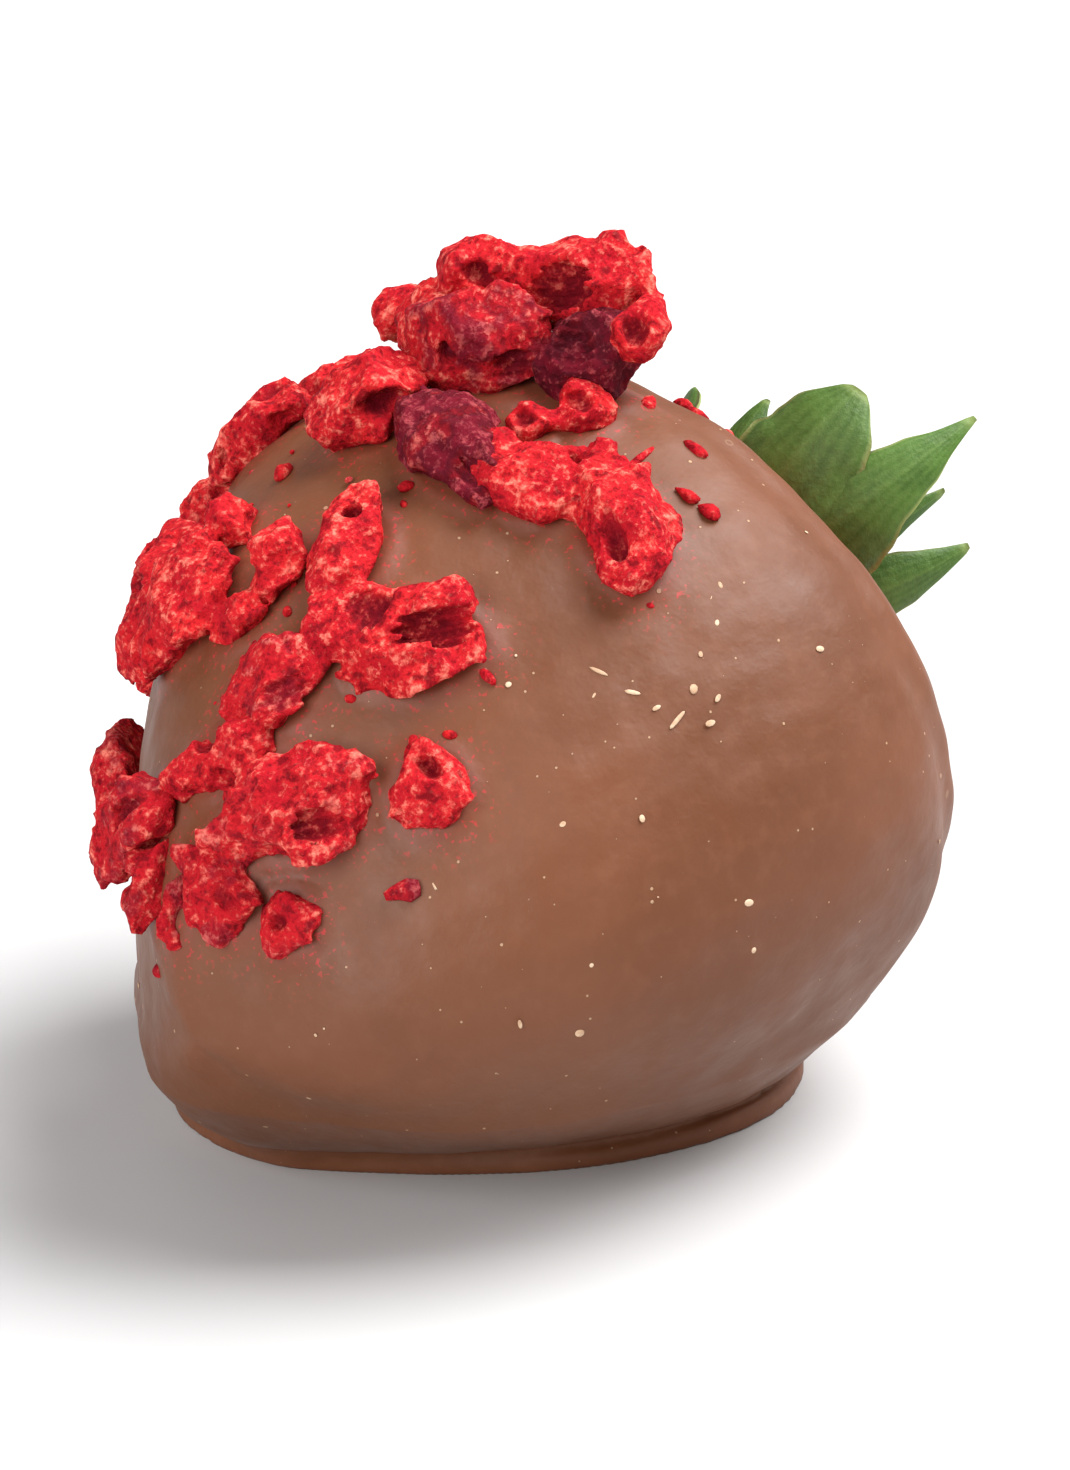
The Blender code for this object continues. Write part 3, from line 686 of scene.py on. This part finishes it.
class Lump:
    """One broken lump of dried strawberry: its pieces, grown into each other, with its hollows."""

    def __init__(self, pieces):
        self.pieces = pieces
        self.seed = pieces[0].seed
        reach = [np.abs(piece.axes.T * piece.half).sum(axis=1) * 1.1 + 0.5 for piece in pieces]
        self.low = np.min([piece.middle - far for piece, far in zip(pieces, reach)], axis=0)
        self.high = np.max([piece.middle + far for piece, far in zip(pieces, reach)], axis=0)
        self.hollows = []

    def whole(self, points):
        """The lump without its hollows."""
        surface = self.pieces[0].field(points)
        for piece in self.pieces[1:]:
            surface = soft_min(surface, piece.field(points), 0.4)
        return surface + SHRUNK - self.rough(points)

    def rough(self, points):
        ridges = 0.25 - np.abs(noise(points, 1.7, self.seed + 1))
        small = 0.25 - np.abs(noise(points, 0.8, self.seed + 2))
        return 0.36 * noise(points, 2.6, self.seed) + 0.42 * ridges + 0.2 * small

    def add_hollow(self, centre, along, length, width, depth):
        """Sinks an oval hollow into the surface, its length as near that way as the surface allows."""
        around = self.whole(np.concatenate([[centre], centre + 0.1 * np.eye(3)]))
        up = unit(around[1:] - around[0])
        along = unit(along - up * (along @ up))
        axes = np.array([along, np.cross(up, along), up])
        self.hollows.append((centre, axes, np.array([length, width, 2 * depth]) / 2))

    def first_met(self, start, direction, most=14.0, step=0.1):
        """How far along a line the lump's surface is met."""
        along = np.arange(0, most, step)
        inside = self.whole(start + along[:, None] * direction) < 0
        return along[inside.argmax()] if inside.any() else most

    def field(self, points):
        surface = self.whole(points)
        for centre, axes, radii in self.hollows:
            local = (points - centre) @ axes.T
            reach = np.linalg.norm(local / radii, axis=1)
            broad = min(1.0, max(radii[1] - 0.6, 0) * 2)
            ribs = 0.10 * broad * np.sin(local[:, 1] * tau / STRIPES)
            surface = soft_max(surface, (1 - reach) * radii.min() - ribs, 0.2)
        return surface - 0.05 * noise(points, 0.42, self.seed + 3)

    def mesh(self):
        points, faces = skin(self.field, self.low, self.high, PIECE_CELL)
        depth = np.clip(-self.whole(points) / 0.9, 0, 1)
        # high marks the protruding parts, where the material paints a highlight
        high = np.clip(0.3 + 1.6 * self.rough(points), 0, 1) * (1 - depth)
        # The pieces' dark tones, partly painted shade for those nearest the tip, blend where they meet
        nearness = np.exp(-np.array([piece.field(points) for piece in self.pieces]) / 0.35)
        tones = np.array([piece.dark for piece in self.pieces])
        dark = tones @ nearness / nearness.sum(axis=0)
        return points, faces, np.column_stack([dark, depth, high])


def axes_on_coat(polar, around, turned):
    """Three directions on the coat: one turned that far from the line to the calyx, across it, and up."""
    polar, around, turned = radians(polar), radians(around), radians(turned)
    up, along = berry_normal(polar, around), to_calyx(polar, around)
    along = along * cos(turned) + np.cross(up, along) * sin(turned)
    return np.array([along, np.cross(up, along), up])


def above_coat(polar, around, height):
    polar, around = radians(polar), radians(around)
    return berry_point(polar, around) + berry_normal(polar, around) * height


def all_pieces():
    specs = PIECES + STACKED_PIECES + far_pieces()
    return [Piece(index, *spec) for index, spec in enumerate(specs)]


def all_lumps(pieces):
    """The lumps, with the hollows that are listed and random ones where none is."""
    together = {number for lump in LUMPS for number in lump}
    numbers = LUMPS + [(index,) for index in range(len(pieces)) if index not in together]
    lumps = [Lump([pieces[index] for index in lump]) for lump in numbers]
    to_camera = view_axes()[2]
    for polar, around, height, turned, length, width, depth in HOLLOWS:
        start = above_coat(polar, around, height) + 6 * to_camera
        away = [lump.first_met(start, -to_camera) for lump in lumps]
        nearest = lumps[int(np.argmin(away))]
        along = axes_on_coat(polar, around, turned)[0]
        nearest.add_hollow(start - to_camera * min(away), along, length, width, depth)
    for lump in lumps:
        if not lump.hollows:
            hollow_out(lump)
    return lumps


def hollow_out(lump):
    """Gives each piece of a lump a broad and a small hollow somewhere on its upper side."""
    draw = np.random.default_rng(lump.seed + 100)
    for piece in lump.pieces:
        for size in (draw.uniform(0.35, 0.6), draw.uniform(0.12, 0.25)):
            side = draw.normal(size=3) * [1, 1, 0.6] + [0, 0, 0.9]
            outward = unit(side) @ piece.axes
            start = piece.middle + outward * piece.half.max() * 1.5
            place = start - outward * lump.first_met(start, -outward)
            length = size * 2 * piece.half[0]
            along, width = draw.normal(size=3), length * draw.uniform(0.45, 0.8)
            lump.add_hollow(place, along, length, width, 0.35 + 0.15 * length)


def foot_tables(count=180):
    """For turns round the foot: its lip, the crease over it, how full that is, and the belly above it."""
    turns = np.arange(count) * tau / count
    share = (np.abs(np.cos(turns)) / (FOOT_LENGTH / 2)) ** FOOT_POWER
    share += (np.abs(np.sin(turns)) / (FOOT_WIDTH / 2)) ** FOOT_POWER
    waves_round = FOOT_WAVES[0] * np.cos(3 * turns + 0.8) + FOOT_WAVES[1] * np.cos(5 * turns)
    lip = share ** (-1 / FOOT_POWER) * (1 + waves_round)
    fullness = CREASE_LEAST + (1 - CREASE_LEAST) * (1 + np.cos(turns - CREASE_AT)) / 2
    crease = lip - CREASE_DEPTH * fullness ** CREASE_POWER
    near, far = np.zeros(count), np.full(count, HALF_WIDTH * 2)
    for _ in range(12):
        middle = (near + far) / 2
        angle = turns + FOOT_TURN
        x, y = FOOT_CENTRE[0] + middle * np.cos(angle), FOOT_CENTRE[1] + middle * np.sin(angle)
        radius, polar, around, _ = to_axis(np.column_stack([x, y, np.full(count, SKIRT_TOP)]))
        inside = radius < berry_radius(polar, around)
        near, far = np.where(inside, middle, near), np.where(inside, far, middle)
    return turns, lip, crease, fullness, near


class Coat:
    """The chocolate: the berry's form with its foot, open past the dip line, hollow for the fruit."""

    def __init__(self, pieces):
        self.pieces = [piece for piece in pieces if not piece.stacked]
        self.turns, *self.foot_shape = foot_tables()

    def foot(self, points):
        """The skirt and the lip, before they are joined to the berry."""
        offset = points[:, :2] - FOOT_CENTRE
        reach = np.hypot(offset[:, 0], offset[:, 1])
        turn = np.arctan2(offset[:, 1], offset[:, 0]) - FOOT_TURN
        lip, crease, fullness, belly = [
            np.interp(turn, self.turns, table, period=tau) for table in self.foot_shape
        ]
        height = points[:, 2]
        share = np.clip((height - CREASE_HEIGHT) / (SKIRT_TOP - CREASE_HEIGHT), 0, 1) ** 0.7
        skirt = soft_max((reach - crease - (belly - crease) * share) * 0.85, height - SKIRT_TOP - 1, 0.5)
        top = LIP_THINNEST + (LIP_HEIGHT - LIP_THINNEST) * fullness
        return skirt, soft_max(reach - lip, height - top, 0.6)

    def collars(self, points):
        """How much the chocolate rises where a dried piece is stuck in it."""
        rise = np.zeros(len(points))
        for piece in self.pieces:
            close = np.linalg.norm(points - piece.middle, axis=1) < piece.half[0] + 3
            here = np.exp(-((piece.outside(points[close]) / COLLAR_WIDTH) ** 2))
            rise[close] = np.maximum(rise[close], here)
        return rise

    def field(self, points):
        radius, polar, around, along = to_axis(points)
        skin_at, step = berry_radius(polar, around), 0.01
        by_polar = (berry_radius(polar + step, around) - skin_at) / step / skin_at
        by_around = (berry_radius(polar, around + step) - skin_at) / step / skin_at
        slope = np.sqrt(1 + by_polar ** 2 + (by_around / np.maximum(np.sin(polar), 0.1)) ** 2)
        skirt, lip = self.foot(points)
        outer = soft_min((radius - skin_at) / slope, skirt, SKIRT_BLEND)
        for height, size, seed in COAT_WAVES:
            outer = outer - height * waves(points, size, seed)
        outer = outer - COLLAR * self.collars(points)
        outer = soft_min(outer, lip - 0.05 * waves(points, 5, 8), LIP_BLEND)
        reach = np.minimum(radius * np.sin(polar) / HALF_DEPTH, 1)
        dip = DIP_WAVE * np.sin(2 * around - 0.9) + 0.5 * DIP_WAVE * np.sin(5 * around + 1.9)
        rim = along - DIP_LINE - (dip + 0.10 * np.sin(11 * around)) * reach
        outer = outer - BEAD * np.exp(-(((rim + BEAD_AT) / BEAD_WIDTH) ** 2))
        outer = outer + GROOVE * np.exp(-(((rim + GROOVE_AT) / GROOVE_WIDTH) ** 2))
        shell = soft_max(outer, rim, RIM_ROUND)
        fruit = (radius - skin_at - fruit_lift(polar)) / slope
        shell = soft_max(shell, -INTO_FRUIT - fruit, 0.12)
        return soft_max(shell, -points[:, 2], 0.25)

    def hidden(self, points):
        """1 where the coat only faces the fruit or the floor, else 0."""
        radius, polar, around, along = to_axis(points)
        inner = radius < berry_radius(polar, around) + fruit_lift(polar) + 0.4
        return (inner & (along < DIP_LINE - 2.5)) | (points[:, 2] < 0.02)


def coat_piece(pieces):
    coat = Coat(pieces)
    points, faces = skin(coat.field, *COAT_REGION, COAT_CELL)
    closeness = np.zeros(len(points))
    for piece in coat.pieces:
        closeness = np.maximum(closeness, np.exp(-((piece.outside(points) / 1.6) ** 2)))
    # low is a painted shade: darkest a little above the floor, fading out higher up and down towards the
    # floor
    height = points[:, 2]
    low = np.clip(1 - (height - SHADE_DARKEST_AT) / (UNSHADED_ABOVE - SHADE_DARKEST_AT), 0, 1)
    low = low * np.clip(height / SHADE_DARKEST_AT, 0, 1)
    # closeness carries the red dust round the pieces, its cube a painted red reflection of them
    tint = np.column_stack([closeness, closeness ** 3, low])
    material = chocolate_material()
    piece = new_piece("coat", points, faces, tint, material, "milk_chocolate", "chocolate_coat")
    thin_out(piece, coat.hidden(points))


def thin_out(piece, where, share=0.62):
    """Uses fewer faces on the parts of a piece that are never seen."""
    group = piece.vertex_groups.new(name="unseen")
    group.add(np.flatnonzero(where).tolist(), 1.0, "REPLACE")
    modifier = piece.modifiers.new("thin_out", "DECIMATE")
    modifier.ratio = share
    modifier.vertex_group = group.name
    modifier.vertex_group_factor = 1000
    graph = bpy.context.evaluated_depsgraph_get()
    mesh = bpy.data.meshes.new_from_object(piece.evaluated_get(graph))
    piece.modifiers.clear()
    piece.vertex_groups.clear()
    piece.data = mesh


def dried_pieces(pieces):
    material = dried_material()
    far = len(PIECES) + len(STACKED_PIECES)
    groups = {"dried_pieces_crown": [], "dried_pieces_tip": [], "dried_pieces_far": []}
    for lump in all_lumps(pieces):
        at_tip = FIRST_AT_TIP <= lump.seed < len(PIECES)
        kind = "far" if lump.seed >= far else "tip" if at_tip else "crown"
        groups["dried_pieces_" + kind].append(lump.mesh())
    for name, parts in groups.items():
        new_piece(name, *joined(parts), material, "strawberry_flesh", "chocolate_coat")
    return material


def ring_faces(rows, columns):
    """Quads between rings of points, numbered ring after ring."""
    grid = np.arange(rows * columns).reshape(rows, columns)
    ahead = np.roll(grid, -1, axis=1)
    return np.stack([grid[:-1], ahead[:-1], ahead[1:], grid[1:]], axis=-1).reshape(-1, 4)


def end_faces(ring, tip):
    """Triangles between a ring of points and one point."""
    return np.column_stack([ring, np.roll(ring, -1), np.full(len(ring), tip), np.full(len(ring), -1)])


def ball(rows=6, columns=9):
    """Points of a unit ball, and its faces."""
    angles = np.arange(1, rows) * pi / rows, np.arange(columns) * tau / columns
    polar, turn = np.meshgrid(*angles, indexing="ij")
    rings = np.stack([np.sin(polar) * np.cos(turn), np.sin(polar) * np.sin(turn), np.cos(polar)], axis=-1)
    points = np.concatenate([rings.reshape(-1, 3), [[0, 0, 1], [0, 0, -1]]])
    top, bottom = len(points) - 2, len(points) - 1
    ring = np.arange(columns)
    faces = [ring_faces(rows - 1, columns)[:, ::-1], end_faces(ring, top)]
    faces.append(end_faces(ring[::-1] + (rows - 2) * columns, bottom))
    return points, np.concatenate(faces)


def crumbs(pieces, material, loose=90, seed=21):
    """Small bits of dried fruit, most of them close round the pieces."""
    draw = random.Random(seed)
    specs = list(CRUMBS)
    while len(specs) < len(CRUMBS) + loose:
        piece = draw.choice([piece for piece in pieces if not piece.stacked])
        turn, away = draw.uniform(0, tau), draw.uniform(0.95, 1.0 + 2.0 * draw.random() ** 2)
        place = piece.middle + away * (
            cos(turn) * piece.half[0] * piece.axes[0] + sin(turn) * piece.half[1] * piece.axes[1]
        )
        _, polar, around, along = to_axis(place[None])
        if along[0] < DIP_LINE - 1:
            size = 0.25 + 0.6 * draw.random() ** 3
            length, turned = size * draw.uniform(1, 1.8), draw.uniform(0, 180)
            specs.append((degrees(polar[0]), degrees(around[0]), length, size, turned))
    bits("dried_crumbs", specs, 0.8, material, "strawberry_flesh", seed)


def bits(name, specs, flatness, material, slot, seed):
    """Small lumpy bits on the coat."""
    draw = random.Random(seed)
    shape, faces = ball(7, 10)
    parts = []
    for index, (polar, around, length, width, turned) in enumerate(specs):
        axes = axes_on_coat(polar, around, turned)
        scale = np.array([length, width, width * flatness]) / 2
        places = shape * np.array([length, width, width]) / 2 + [[0, 0, index * 5.1]]
        lumpy = shape * (1 + 0.4 * noise(places, 0.45, seed))[:, None]
        points = above_coat(polar, around, width * flatness * 0.2) + (lumpy * scale) @ axes
        tint = np.tile([draw.uniform(0, 0.6), 0.0, draw.uniform(0.0, 0.5)], (len(points), 1))
        parts.append((points, faces, tint))
    new_piece(name, *joined(parts), material, slot, "chocolate_coat")


def cream_flecks(spread=70, seed=44):
    """The listed flecks, and finer ones all over the coat."""
    draw = random.Random(seed)
    specs = list(FLECKS)
    while len(specs) < len(FLECKS) + spread:
        polar, around = draw.uniform(15, 112), draw.uniform(-40, 220)
        width = 0.13 + 0.14 * draw.random() ** 2
        specs.append((polar, around, width * draw.uniform(1, 2.6), width, draw.uniform(0, 180)))
    bits("cream_flecks", specs, 0.35, cream_material(), "milk_chocolate", seed)


def seed_places():
    """Where the fruit's seeds are, on a spiral round the axis: angle from the tip and round the axis."""
    places = []
    turn, polar = 0.0, SEEDS_FROM
    while polar < SEEDS_TO:
        places.append((polar, turn % tau))
        turn += pi * (3 - sqrt(5))
        polar += SEED_SPACING ** 2 / (tau * max(sin(polar), 0.2)) * SEED_SPREAD
    return places


def fruit_pieces():
    bare_from = radians(92)
    rows = np.concatenate([np.linspace(0, bare_from, 24)[:-1], np.linspace(bare_from, pi, 150)])
    columns = 200
    turns = np.arange(columns) * tau / columns
    polar, around = [grid.ravel() for grid in np.meshgrid(rows, turns, indexing="ij")]
    points = berry_point(polar, around, fruit_lift(polar))
    seeds = seed_places()
    pits = np.zeros(len(points))
    centres = [berry_point(p, a, fruit_lift(p)) for p, a in seeds]
    for centre in centres:
        close = np.abs(points - centre).max(axis=1) < 3
        distance = np.linalg.norm(points[close] - centre, axis=1)
        pits[close] = np.maximum(pits[close], np.exp(-((distance / PIT_WIDTH) ** 2)))
    lumpy = np.clip((polar - LUMPY_FROM) / LUMPY_OVER, 0, 1)
    lift = (-PIT_DEPTH * pits + 0.10 * waves(points, 5, 31)) * lumpy
    points = berry_point(polar, around, fruit_lift(polar) + lift)
    pale = np.clip((polar - PALE_FROM) / PALE_OVER, 0, 1) ** 1.5
    tint = np.column_stack([pale, pits, np.zeros(len(points))])
    faces = ring_faces(len(rows), columns)
    new_piece("fruit", points, faces, tint, fruit_material(), "strawberry_flesh", "strawberry")
    shape, seed_faces = ball(8, 10)
    shape = shape[:, [1, 2, 0]] * (1 - 0.35 * shape[:, 2:3] * np.array([1, 0, 0.6]))
    parts = []
    for (p, a), centre in zip(seeds, centres):
        up, along = berry_normal(p, a), to_calyx(p, a)
        axes = np.array([np.cross(along, up), along, up])
        seed = centre - up * SEED_SUNK + (shape * SEED_SIZE) @ axes
        parts.append((seed, seed_faces, np.zeros((len(shape), 3))))
    new_piece("seeds", *joined(parts), seed_material(), "strawberry_flesh", "strawberry")


def sepal(index, turn, tip_out, tip_along, width, rows=46, columns=17):
    """One leaf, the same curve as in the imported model, with ribs, a curled edge and a thin margin."""
    fuller, blunt, pale = SEPAL_FORMS.get(index, (1.0, 0.0, 0.0))
    width = width * fuller
    narrow = width < NARROW_SEPAL
    turn = radians(turn)
    # share goes from 0 at the root to 1 at the tip, and s from -1 to 1 across the leaf
    spread = np.meshgrid(np.linspace(0, 1, rows), np.linspace(-1, 1, columns), indexing="ij")
    share, s = [grid.ravel() for grid in spread]
    tip = np.array([tip_out, tip_along])
    root = SEPAL_ROOT - np.array([0, NARROW_LOWER if narrow else 0])
    bend = np.array([root[0] + SEPAL_BEND_OUT * (tip[0] - root[0]), SEPAL_BEND_HEIGHT])
    middle = root * ((1 - share) ** 2)[:, None] + bend * (2 * share * (1 - share))[:, None]
    middle = middle + tip * (share ** 2)[:, None]
    slope = (bend - root) * (1 - share)[:, None] + (tip - bend) * share[:, None]
    slope /= np.linalg.norm(slope, axis=1)[:, None]
    twist = SEPAL_TWIST * sin(2.4 * index + 1) * share
    bulge = np.sin(pi * (0.04 + 0.95 * share) ** (0.7 + 0.35 * blunt)) ** (1 - 0.4 * blunt)
    tip_width = SEPAL_TIP * (1 - 0.75 * np.clip((share - 0.8) / 0.2, 0, 1))
    half = tip_width + (width / 2 - SEPAL_TIP) * bulge
    half = half * (1 + 0.035 * np.sin(23 * share + index) + 0.02 * np.sin(51 * share + 2 * index))
    cup = half * (SEPAL_CUP * s * s + SEPAL_WAVE * np.abs(s) * np.sin(9 * share + 2 * index))
    cup = cup + CURL * np.abs(s) ** 3 * np.sin(17 * share + 3 * index + np.sign(s)) * bulge
    ribs = np.abs(np.sin(pi * SEPAL_RIBS * (s * (1 + 0.15 * np.sin(2 * share)))))
    fold = np.exp(-((s / FOLD_WIDTH) ** 2))
    cup = cup + (RIB_HEIGHT * ribs - FOLD_DEPTH * fold) * bulge
    out = np.array([cos(turn), sin(turn)])
    side = np.array([-sin(turn), cos(turn)])
    across = half * s
    upwards = cup * np.cos(twist) + across * np.sin(twist)
    outwards = middle[:, 0] - slope[:, 1] * upwards
    onwards = middle[:, 1] + slope[:, 0] * upwards
    sideways = across * np.cos(twist) - cup * np.sin(twist)
    plane = out * outwards[:, None] + side * sideways[:, None]
    upper = from_axis(onwards, plane[:, 0], plane[:, 1])
    grid = np.arange(rows * columns).reshape(rows, columns)
    rim = np.clip((np.abs(s) - 0.86) / 0.14, 0, 1) ** 1.5 * 0.8
    rim = np.maximum(rim, np.clip((share - 0.95) / 0.05, 0, 1) * 0.6)
    rim = np.maximum(rim, pale)
    base = np.clip(1 - share / 0.32, 0, 1)
    vein = (1 - ribs) * 0.6 + fold
    return thick_sheet(upper, grid, np.column_stack([rim, base, np.clip(vein, 0, 1)]))


def thick_sheet(points, grid, tint):
    """Gives a sheet, its points numbered in a grid, a second side and closes its edge."""
    quads = np.stack([grid[:-1, :-1], grid[1:, :-1], grid[1:, 1:], grid[:-1, 1:]], axis=-1).reshape(-1, 4)
    normals = np.zeros(points.shape)
    first, second, third, fourth = points[quads].transpose(1, 0, 2)
    corner = np.cross(third - first, fourth - second)
    for k in range(4):
        np.add.at(normals, quads[:, k], corner)
    normals /= np.linalg.norm(normals, axis=1)[:, None] + 1e-12
    edge = np.concatenate([grid[0, :-1], grid[:-1, -1], grid[-1, :0:-1], grid[:0:-1, 0]])
    thickness = np.full(len(points), SEPAL_SHOWN_THICKNESS)
    thickness[edge] *= 0.45
    count = len(points)
    offset = normals * thickness[:, None] / 2
    both = np.concatenate([points + offset, points - offset])
    wall = np.column_stack([edge, np.roll(edge, -1), np.roll(edge, -1) + count, edge + count])
    faces = np.concatenate([quads, quads[:, ::-1] + count, wall[:, ::-1]])
    return both, faces, np.concatenate([tint, tint])


def hub(columns=48):
    """The base of the crown with the cut stem, ribbed where the sepals leave it."""
    turns = np.arange(columns) * tau / columns
    points, tint = [], []
    for share, height in HUB_PROFILE:
        ribs = 1 + 0.05 * np.cos(13 * turns + 0.4) * (0.3 < share < 1.01)
        radius = HUB_RADIUS * share * ribs
        along = HUB_HEIGHT + height + 0.05 * np.cos(7 * turns)
        points.append(from_axis(along, radius * np.cos(turns), radius * np.sin(turns)))
        cut = 1.0 if height > STEM_TOP or share < STEM_CUT else 0.0
        tint.append(np.tile([0.7 * cut, 0.75 - 0.4 * (height > 2), 0.3], (columns, 1)))
    points, tint = np.concatenate(points), np.concatenate(tint)
    ends = [from_axis(HUB_HEIGHT + HUB_PROFILE[end][1], 0.0, 0.0) for end in (0, -1)]
    points = np.concatenate([points, ends])
    ring, last = np.arange(columns), (len(HUB_PROFILE) - 1) * columns
    faces = [ring_faces(len(HUB_PROFILE), columns), end_faces(ring[::-1], len(points) - 2)]
    faces.append(end_faces(ring + last, len(points) - 1))
    return points, np.concatenate(faces), np.concatenate([tint, [[0, 0.7, 0], [0.7, 0.3, 0.3]]])


def calyx():
    parts = [sepal(index, *spec) for index, spec in enumerate(SEPALS)] + [hub()]
    new_piece("crown", *joined(parts), leaf_material(), "sepal_green", "calyx")


def floor_and_light():
    floor_material = Looks("pale_floor", roughness=0.75, specular_ior_level=0.2)
    shade = floor_material.between(floor_material.noise(0.02, 2), 0.3, 0.7)
    colour = floor_material.mix(shade, (0.60, 0.60, 0.60, 1), (0.62, 0.62, 0.62, 1))
    mesh = bpy.data.meshes.new("floor")
    corners = [(x * FLOOR_SIDE, y * FLOOR_SIDE, 0) for x, y in ((-1, -1), (1, -1), (1, 1), (-1, 1))]
    mesh.from_pydata(corners, [], [(0, 1, 2, 3)])
    mesh.materials.append(floor_material.finish(colour))
    floor = new_object("floor", mesh)
    world = bpy.data.worlds.new("studio")
    world.use_nodes = True
    world.node_tree.nodes["Background"].inputs["Color"].default_value = (1, 1, 1, 1)
    world.node_tree.nodes["Background"].inputs["Strength"].default_value = WORLD_LIGHT
    bpy.context.scene.world = world
    for light in SOFTBOXES:
        softbox(*light)


def softbox(name, place, size, power):
    light = bpy.data.lights.new(name, "AREA")
    light.shape = "SQUARE"
    light.size = size
    light.energy = power
    back = unit(np.array(place) - [0, 0, 0.02])
    right = unit(np.cross([0, 0, 1], back))
    put(new_object(name, light), place, right, np.cross(back, right), back)


def put(thing, place, right, up, back):
    """Puts a light or the camera there, turned so that it looks away from back."""
    turned = np.column_stack([right, up, back, place]).tolist()
    thing.matrix_world = Matrix(turned + [[0, 0, 0, 1]])


def view_axes():
    """To the right and up in the picture, and back to the camera."""
    azimuth, elevation = VIEW_AZIMUTH, VIEW_ELEVATION
    level = np.array([cos(azimuth), sin(azimuth), 0])
    inwards = np.array([-sin(azimuth), cos(azimuth), 0])
    back = np.array([0, 0, sin(elevation)]) - inwards * cos(elevation)
    upright = np.cross(back, level)
    right = level * cos(VIEW_ROLL) - upright * sin(VIEW_ROLL)
    up = upright * cos(VIEW_ROLL) + level * sin(VIEW_ROLL)
    return right, up, back


def camera():
    right, up, back = view_axes()
    per_px = VIEW_DISTANCE / VIEW_FOCAL
    aimed_at = VIEW_TARGET - right * (VIEW_TARGET_AT[0] - IMAGE_SIZE[0] / 2) * per_px
    aimed_at = aimed_at + up * (VIEW_TARGET_AT[1] - IMAGE_SIZE[1] / 2) * per_px
    lens = bpy.data.cameras.new("view")
    lens.sensor_width = SENSOR
    lens.lens = VIEW_FOCAL * SENSOR / IMAGE_SIZE[1]
    lens.clip_start = 0.01
    eye = new_object("view", lens)
    put(eye, (aimed_at + back * VIEW_DISTANCE) * MM, right, up, back)
    bpy.context.scene.camera = eye


def main():
    pieces = all_pieces()
    coat_piece(pieces)
    material = dried_pieces(pieces)
    crumbs(pieces, material)
    cream_flecks()
    fruit_pieces()
    calyx()
    floor_and_light()
    camera()
    bpy.context.scene.view_settings.view_transform = "Standard"


main()
